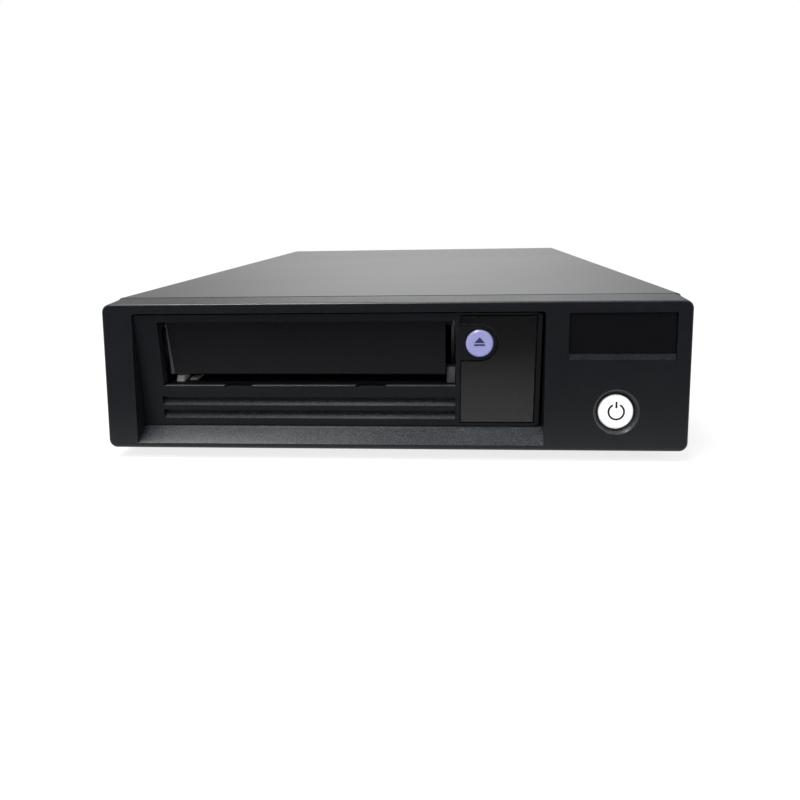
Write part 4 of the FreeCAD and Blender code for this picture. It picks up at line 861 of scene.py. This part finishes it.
@dataclass
class BadgeLedge:
    """Raked ledge below the bare plate, in the fascia's pocket."""

    fall: float = 2.3 * MM
    side: float = 0.35 * MM
    face_over_plate: float = 0.6 * MM
    lip: float = 0.12 * MM
    seat: float = 0.05 * MM

    def build(self) -> None:
        """Make the ledge on the fascia's own lean."""
        inward = Vector(joint_row("power_button_press")["axis"]).normalized()
        up = RIGHT.cross(inward)
        places = [vertex.co for vertex in frame["nodes"]["badge_plate"].data.vertices]
        foot, depths = min(place.dot(up) for place in places), [place.dot(inward) for place in places]
        front, back = min(depths), max(depths) - self.seat
        low, high = foot - self.fall + self.seat, foot - self.seat
        section = [(low, front - self.face_over_plate + self.lip), (high, front), (high, back), (low, back)]
        x0, x1 = min(place.x for place in places) - self.side, max(place.x for place in places) + self.side
        bm = bmesh.new()
        prism(bm, [[Vector((x, 0.0, 0.0)) + up * rise + inward * depth for rise, depth in section]
                   for x in (x0, x1)], self.seat)
        new_piece("badge_ledge", as_mesh(bm), "fascia_plastic")


@dataclass
class SlotTrim:
    """Lip along the slot's lower edge, the skids behind it and the flange at the bezel's right edge."""

    lip_high: float = 0.28 * MM
    lip_deep: float = 1.3 * MM
    lip_slope: float = 0.45 * MM
    lip_sunk: float = 0.2 * MM
    lip_floor: float = 26.1 * MM
    lip_edge: float = 0.04 * MM
    lip_runs: Sequence[Span] = ((-86.1 * MM, -62.8 * MM), (-52.2 * MM, -13.0 * MM), (-1.7 * MM, 24.1 * MM))
    flange_wide: float = 1.15 * MM
    flange_deep: float = 2.2 * MM
    flange_short: float = 0.4 * MM
    flange_edge: float = 0.15 * MM
    skid_size: Span = (2.9 * MM, 7.0 * MM)
    skid_lefts: Span = (1.8 * MM, 6.1 * MM)
    skid_rises: Span = (2.1 * MM, 0.7 * MM)
    skid_setbacks: Span = (0.0, 2.5 * MM)
    skid_outset: float = 0.2 * MM
    skid_toe: float = 0.3 * MM
    skid_ramp: float = 1.2 * MM
    skid_edge: float = 0.08 * MM

    def bar(self, bm: bmesh.types.BMesh, side: Sequence[tuple], run: Span, edge: float) -> None:
        """Add a side outline of y and z pushed along a run of x, its edges broken."""
        prism(bm, [[(x, y, z) for y, z in side] for x in run], edge)

    def lip(self) -> None:
        """Make the lip, which stops at two notches."""
        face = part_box("drive_bezel")[0][1]
        low, high = self.lip_floor - self.lip_sunk, self.lip_floor + self.lip_high
        side = [(face + NEAR, low), (face + NEAR, self.lip_floor), (face + self.lip_slope, high),
                (face + self.lip_deep, high), (face + self.lip_deep, low)]
        bm = bmesh.new()
        for run in self.lip_runs:
            self.bar(bm, side, run, self.lip_edge)
        new_piece("slot_lip", as_mesh(bm), "fascia_plastic")

    def flange(self) -> None:
        """Make the flange."""
        (_, face, bottom), (right, _, top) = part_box("drive_bezel")
        low, high, back = bottom + self.flange_short, top - self.flange_short, face + self.flange_deep
        bm = bmesh.new()
        self.bar(bm, [(face, low), (face, high), (back, high), (back, low)],
                 (right - NEAR, right + self.flange_wide), self.flange_edge)
        new_piece("bezel_flange", as_mesh(bm), "bezel_plastic")

    def skids(self) -> None:
        """Make the ramped skids in place of the plain ones."""
        _, toe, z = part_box("entry_skids")[0]
        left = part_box("entry_guide")[0][0] - self.skid_outset
        width, length = self.skid_size
        bm = bmesh.new()
        for inset, rise, setback in zip(self.skid_lefts, self.skid_rises, self.skid_setbacks):
            y = toe + setback
            side = [(y, z), (y, z + self.skid_toe), (y + self.skid_ramp, z + rise), (y + length, z + rise),
                    (y + length, z)]
            self.bar(bm, side, (left + inset, left + inset + width), self.skid_edge)
        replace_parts(new_piece("ramped_skids", as_mesh(bm), "gear_nylon", finish="skid_white"), "entry_skids")

    def build(self) -> None:
        """Make all three."""
        self.lip()
        self.flange()
        self.skids()


@dataclass
class SlotDoor:
    """The door with a chamfer down its left edge that widens towards the bottom."""

    cad_chamfer: float = 0.5 * MM
    wide_top: float = 0.55 * MM
    wide_bottom: float = 1.9 * MM
    deep: float = 1.15 * MM

    def build(self) -> None:
        """Copy the solid's surface and widen the chamfer."""
        bm = welded("cartridge_door")
        bottom, top = (corner[2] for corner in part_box("cartridge_door"))
        low = [vertex.co for vertex in bm.verts if vertex.co.z < bottom + 2 * self.cad_chamfer]
        front, left = min(co.y for co in low), min(co.x for co in low)
        for vertex in bm.verts:
            share = (top - vertex.co.z) / (top - bottom)
            if abs(vertex.co.y - front) < NEAR and abs(vertex.co.x - left - self.cad_chamfer) < NEAR:
                vertex.co.x = left + self.wide_top + (self.wide_bottom - self.wide_top) * share
            elif abs(vertex.co.x - left) < NEAR and vertex.co.y < front + self.cad_chamfer + NEAR:
                vertex.co.y += (self.deep - self.cad_chamfer) * share
        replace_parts(new_piece("slot_door", as_mesh(bm), "door_plastic", "door"), "cartridge_door")


@dataclass
class ButtonSprings:
    """The coils behind the two buttons, which on the real drive shorten as the buttons go in."""

    buttons: Sequence[str] = ("power_button", "eject_button")

    def build(self) -> None:
        """Copy each coil's surface onto a piece of its own and log the share of its length that it keeps when
        pressed.
        """
        for button in self.buttons:
            press = joint_row(button + "_press")
            bm = welded(button + "_spring")
            way = Vector(press["axis"]).normalized()
            reach = [way.dot(vertex.co) for vertex in bm.verts]
            share = 1.0 - press["range_m"][1] / (max(reach) - min(reach))
            coil = new_piece(button + "_coil", as_mesh(bm), "spring_steel")
            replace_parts(coil, button + "_spring")
            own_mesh(coil)
            log.info("%s coil keeps %.2f", button, share)


@dataclass
class CaseFasteners:
    """Pan-head screws with a cross recess, all over the case."""

    radius: float = 2.68 * MM
    height: float = 1.59 * MM
    length: float = 3.0 * MM
    dome: float = 0.35 * MM
    recess: float = 0.75 * MM
    arm: float = 0.62
    arm_half: float = 0.12
    draft: float = 0.07
    wall_share: float = 0.9
    foot_share: float = 0.94
    shank: float = 0.52
    shank_taper: float = 0.9
    rings: int = 20
    spokes: int = 64
    side_from: float = 95.0 * MM
    rear_from: float = 140.0 * MM
    join: float = 0.0001 * MM

    def places(self) -> list:
        """Middle of each head's outer face and the way it looks, from the CAD solids."""
        found = []
        for low, high in islands("case_screws"):
            middle = (low + high) / 2
            if abs(middle.x) > self.side_from:
                way = Way.LEFT if middle.x < 0 else Way.RIGHT
            else:
                way = Way.REAR if middle.y > self.rear_from else Way.DOWN
            out, reach = Vector(way.value), (high - low) / 2
            found.append((middle + Vector([o * r for o, r in zip(out, reach)]), out))
        return found

    def dip(self, across: float, up: float) -> float:
        """Share of the recess's depth at a place on the head, in head radii."""
        thin, long_way = sorted((abs(across), abs(up)))
        depth = min(1.0, max(0.0, (self.arm_half - thin) / self.draft))
        return depth * min(1.0, max(0.0, (self.arm - long_way) / self.draft))

    def pattern(self) -> bpy.types.Mesh:
        """One screw that faces +Z, its top at the origin."""
        bm = bmesh.new()
        turns = (2 * math.pi * k / self.spokes for k in range(self.spokes))
        circle = [(math.cos(turn), math.sin(turn)) for turn in turns]
        rings = []
        for i in range(self.rings + 1):
            share, ring = i / self.rings, []
            for x, y in ((share * across, share * up) for across, up in circle):
                z = -self.dome * share ** 2 - self.recess * self.dip(x, y)
                ring.append(bm.verts.new((x * self.radius, y * self.radius, z)))
            rings.append(ring)
        profile = ((1.0, -self.height * self.wall_share), (self.foot_share, -self.height),
                   (self.shank, -self.height), (self.shank * self.shank_taper, -self.length))
        for wide, z in profile:
            reach = wide * self.radius
            rings.append([bm.verts.new((reach * x, reach * y, z)) for x, y in circle])
        for inner, outer in zip(rings, rings[1:]):
            band(bm, inner, outer)
        bm.faces.new(rings[-1][::-1])
        bmesh.ops.remove_doubles(bm, verts=bm.verts, dist=self.join)
        return as_mesh(bm)

    def build(self) -> None:
        """Make the screws in place of the plain solids."""
        places = self.places()
        screws = Repeat("case_screws", self.pattern(), WARDROBE.get("screw_steel"))
        piece = new_piece("cross_screws", screws.grow(places, math.pi), "screw_steel")
        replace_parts(piece, "case_screws")
        log.info("%d screws set", len(places))


@dataclass
class PortContacts:
    """Gold strips on the tongues of the two rear ports."""

    side: float = 3.7 * MM
    rise: float = 5.4 * MM
    setback: float = 5.4 * MM
    length: float = 5.5 * MM
    width: float = 0.5 * MM
    pitch: float = 0.95 * MM
    thick: float = 0.06 * MM
    crown: float = 0.8

    def pattern(self) -> bpy.types.Mesh:
        """One strip with its edges broken, its middle at the origin."""
        bm = bmesh.new()
        bmesh.ops.create_cube(bm, size=1.0)
        for vertex in bm.verts:
            slim = self.crown if vertex.co.z > 0 else 1.0
            vertex.co = Vector((vertex.co.x * self.width * slim, vertex.co.y * self.length * (1 + slim) / 2,
                                vertex.co.z * self.thick))
        return as_mesh(bm)

    def build(self) -> None:
        """Lay the strips on both tongues."""
        places = []
        for low, high in islands("sas_ports"):
            room = high.x - low.x - 2 * self.side
            count = int(room / self.pitch)
            first = (low.x + high.x - count * self.pitch) / 2
            places += [(Vector((first + n * self.pitch, high.y - self.setback - self.length / 2,
                                low.z + self.rise)), (0.0, 0.0, 1.0)) for n in range(count + 1)]
        strips = Repeat("port_contacts", self.pattern(), WARDROBE.get("contact_gold"))
        new_piece("port_contacts", strips.grow(places), "blade_brass", finish="contact_gold")
        log.info("%d contacts laid", len(places))


@dataclass(frozen=True)
class Lamp:
    """One soft rectangular lamp, which reflections show only where it is mirrored."""

    name: str
    place: Sequence[float]
    size: Span
    power: float
    mirrored: bool = False

    def build(self, aim: Sequence[float]) -> None:
        """Hang the lamp so that it faces aim."""
        data = bpy.data.lights.new(self.name, "AREA")
        data.shape = "RECTANGLE"
        data.size, data.size_y = self.size
        data.energy = self.power
        lamp = linked(self.name, data)
        way = (Vector(self.place) - Vector(aim)).normalized()
        lamp.matrix_world = Matrix.Translation(self.place) @ way.to_track_quat("Z", "Y").to_matrix().to_4x4()
        lamp.visible_glossy = self.mirrored


@dataclass
class Studio:
    """Pale floor, soft lamps, world and camera."""

    lens: float = 29.886
    sensor: float = 36.0
    clip_start: float = 0.005
    place: Sequence[float] = (0.021416, -0.394706, 0.088174)
    yaw: float = 0.0752
    pitch: float = 0.276
    roll: float = -0.018
    lamps: Sequence[Lamp] = (Lamp("key", (-0.7, -0.9, 1.1), (0.9, 0.7), 11.0),
                             Lamp("fill", (0.9, -0.8, 0.7), (0.8, 0.8), 2.5),
                             Lamp("top", (-0.35, -0.32, 1.25), (0.9, 0.25), 18.0, True))
    aim: Sequence[float] = (0.0, -0.1, 0.03)
    floor_half: float = 4.0
    floor_colour: Colour = (0.93, 0.93, 0.93)
    fade_near: float = 0.30
    fade_far: float = 0.75
    floor_own: float = 0.8
    table_span: Span = (0.17, 0.36)
    ambient: float = 0.6
    room_level: float = 0.06
    room_top: float = 0.75
    room_blur: float = 0.14
    front_span: Span = (0.30, 0.75)
    rear_span: Span = (-0.1, 0.3)
    backdrop_shift: float = 0.13
    backdrop_slant: float = 0.47
    backdrop_width: float = 0.14
    backdrop_fall: float = 0.62
    zenith_guard: float = 0.0001

    def camera(self) -> None:
        """Set the camera at its standing place."""
        level = math.cos(self.pitch)
        forward = Vector((-math.sin(self.yaw) * level, math.cos(self.yaw) * level, -math.sin(self.pitch)))
        right = Vector((math.cos(self.yaw), math.sin(self.yaw), 0.0))
        up = right.cross(forward)
        cosine, sine = math.cos(self.roll), math.sin(self.roll)
        axes = Matrix((cosine * right + sine * up, -sine * right + cosine * up, -forward))
        data = bpy.data.cameras.new("camera")
        data.lens, data.sensor_width, data.clip_start = self.lens, self.sensor, self.clip_start
        camera = linked("camera", data)
        camera.matrix_world = Matrix.Translation(self.place) @ axes.transposed().to_4x4()
        bpy.context.scene.camera = camera

    def world(self) -> None:
        """White surround for the camera; a softer room for the light and the reflections on the object."""
        world = bpy.data.worlds.new("surround")
        bpy.context.scene.world = world
        world.use_nodes = True
        bench = Bench.of_tree(world.node_tree)
        x, y, z = bench.parts(bench.node("ShaderNodeTexCoord", output="Generated"))
        seen = bench.node("ShaderNodeLightPath", output="Is Camera Ray")
        glossy = seen.sibling("Is Glossy Ray")
        seen = seen.largest(seen.sibling("Is Transmission Ray"))
        level = x.squared() + y.squared() + self.zenith_guard
        aside = (x + self.backdrop_shift - z * self.backdrop_slant).squared() / level
        backdrop = 1.0 - aside.clip(0.0, self.backdrop_width) * self.backdrop_fall
        above = z.clip(self.room_top - self.room_blur, self.room_top + self.room_blur)
        front = (0.0 - y).clip(*self.front_span) * (1.0 - above)
        rear = y.clip(*self.rear_span)
        mirrored = (backdrop * rear + (1.0 - rear)) * (1.0 - front * (1.0 - self.room_level))
        soft = glossy * mirrored + (1.0 - glossy) * self.ambient
        strength = seen + (1.0 - seen) * soft
        bench.end(bench.node("ShaderNodeBackground", None, {"Color": WHITE, "Strength": strength}),
                  "ShaderNodeOutputWorld")

    def floor(self) -> None:
        """Plain white floor that keeps a soft shadow and fades into the surround."""
        bm = bmesh.new()
        half = self.floor_half
        bm.faces.new([bm.verts.new((x, y, 0.0)) for x, y in ((-half, -half), (half, -half), (half, half),
                                                            (-half, half))])
        mesh = bpy.data.meshes.new("floor")
        bm.to_mesh(mesh)
        bm.free()
        bench = Bench("floor_white")
        x, y, _ = bench.parts(bench.place)
        away = (x.squared() + y.squared()).clip(self.fade_near ** 2, self.fade_far ** 2)
        camera = bench.node("ShaderNodeLightPath", output="Is Camera Ray")
        glossy = camera.sibling("Is Glossy Ray")
        ahead = (0.0 - y).clip(*self.table_span) * glossy
        own_share = self.floor_own + away.largest(ahead) * (1.0 - self.floor_own)
        lit = bench.node("ShaderNodeBsdfDiffuse", None, {"Color": (*self.floor_colour, 1.0)})
        own = bench.node("ShaderNodeEmission", None, {
            "Color": WHITE, "Strength": 1.0 - ahead * (1.0 - self.room_level)})
        bench.end(bench.node("ShaderNodeMixShader", None, {
            0: camera.largest(glossy) * own_share, 1: lit, 2: own}))
        mesh.materials.append(bench.material)
        linked("floor", mesh)

    def build(self) -> None:
        """Set the whole stage."""
        self.camera()
        self.world()
        self.floor()
        for lamp in self.lamps:
            lamp.build(self.aim)


def main() -> None:
    """Build the scene in order."""
    logging.basicConfig(level=logging.INFO)
    bpy.context.scene.view_settings.view_transform = "Standard"
    for work in (Studio(), CarriedParts(), StandbySign(), EjectSign(), StatusPlate(), BadgeLedge(),
                 SlotTrim(), SlotDoor(), ButtonSprings(), CaseFasteners(), PortContacts()):
        work.build()
        log.info("built %s", type(work).__name__)


if __name__ == "__main__":
    main()
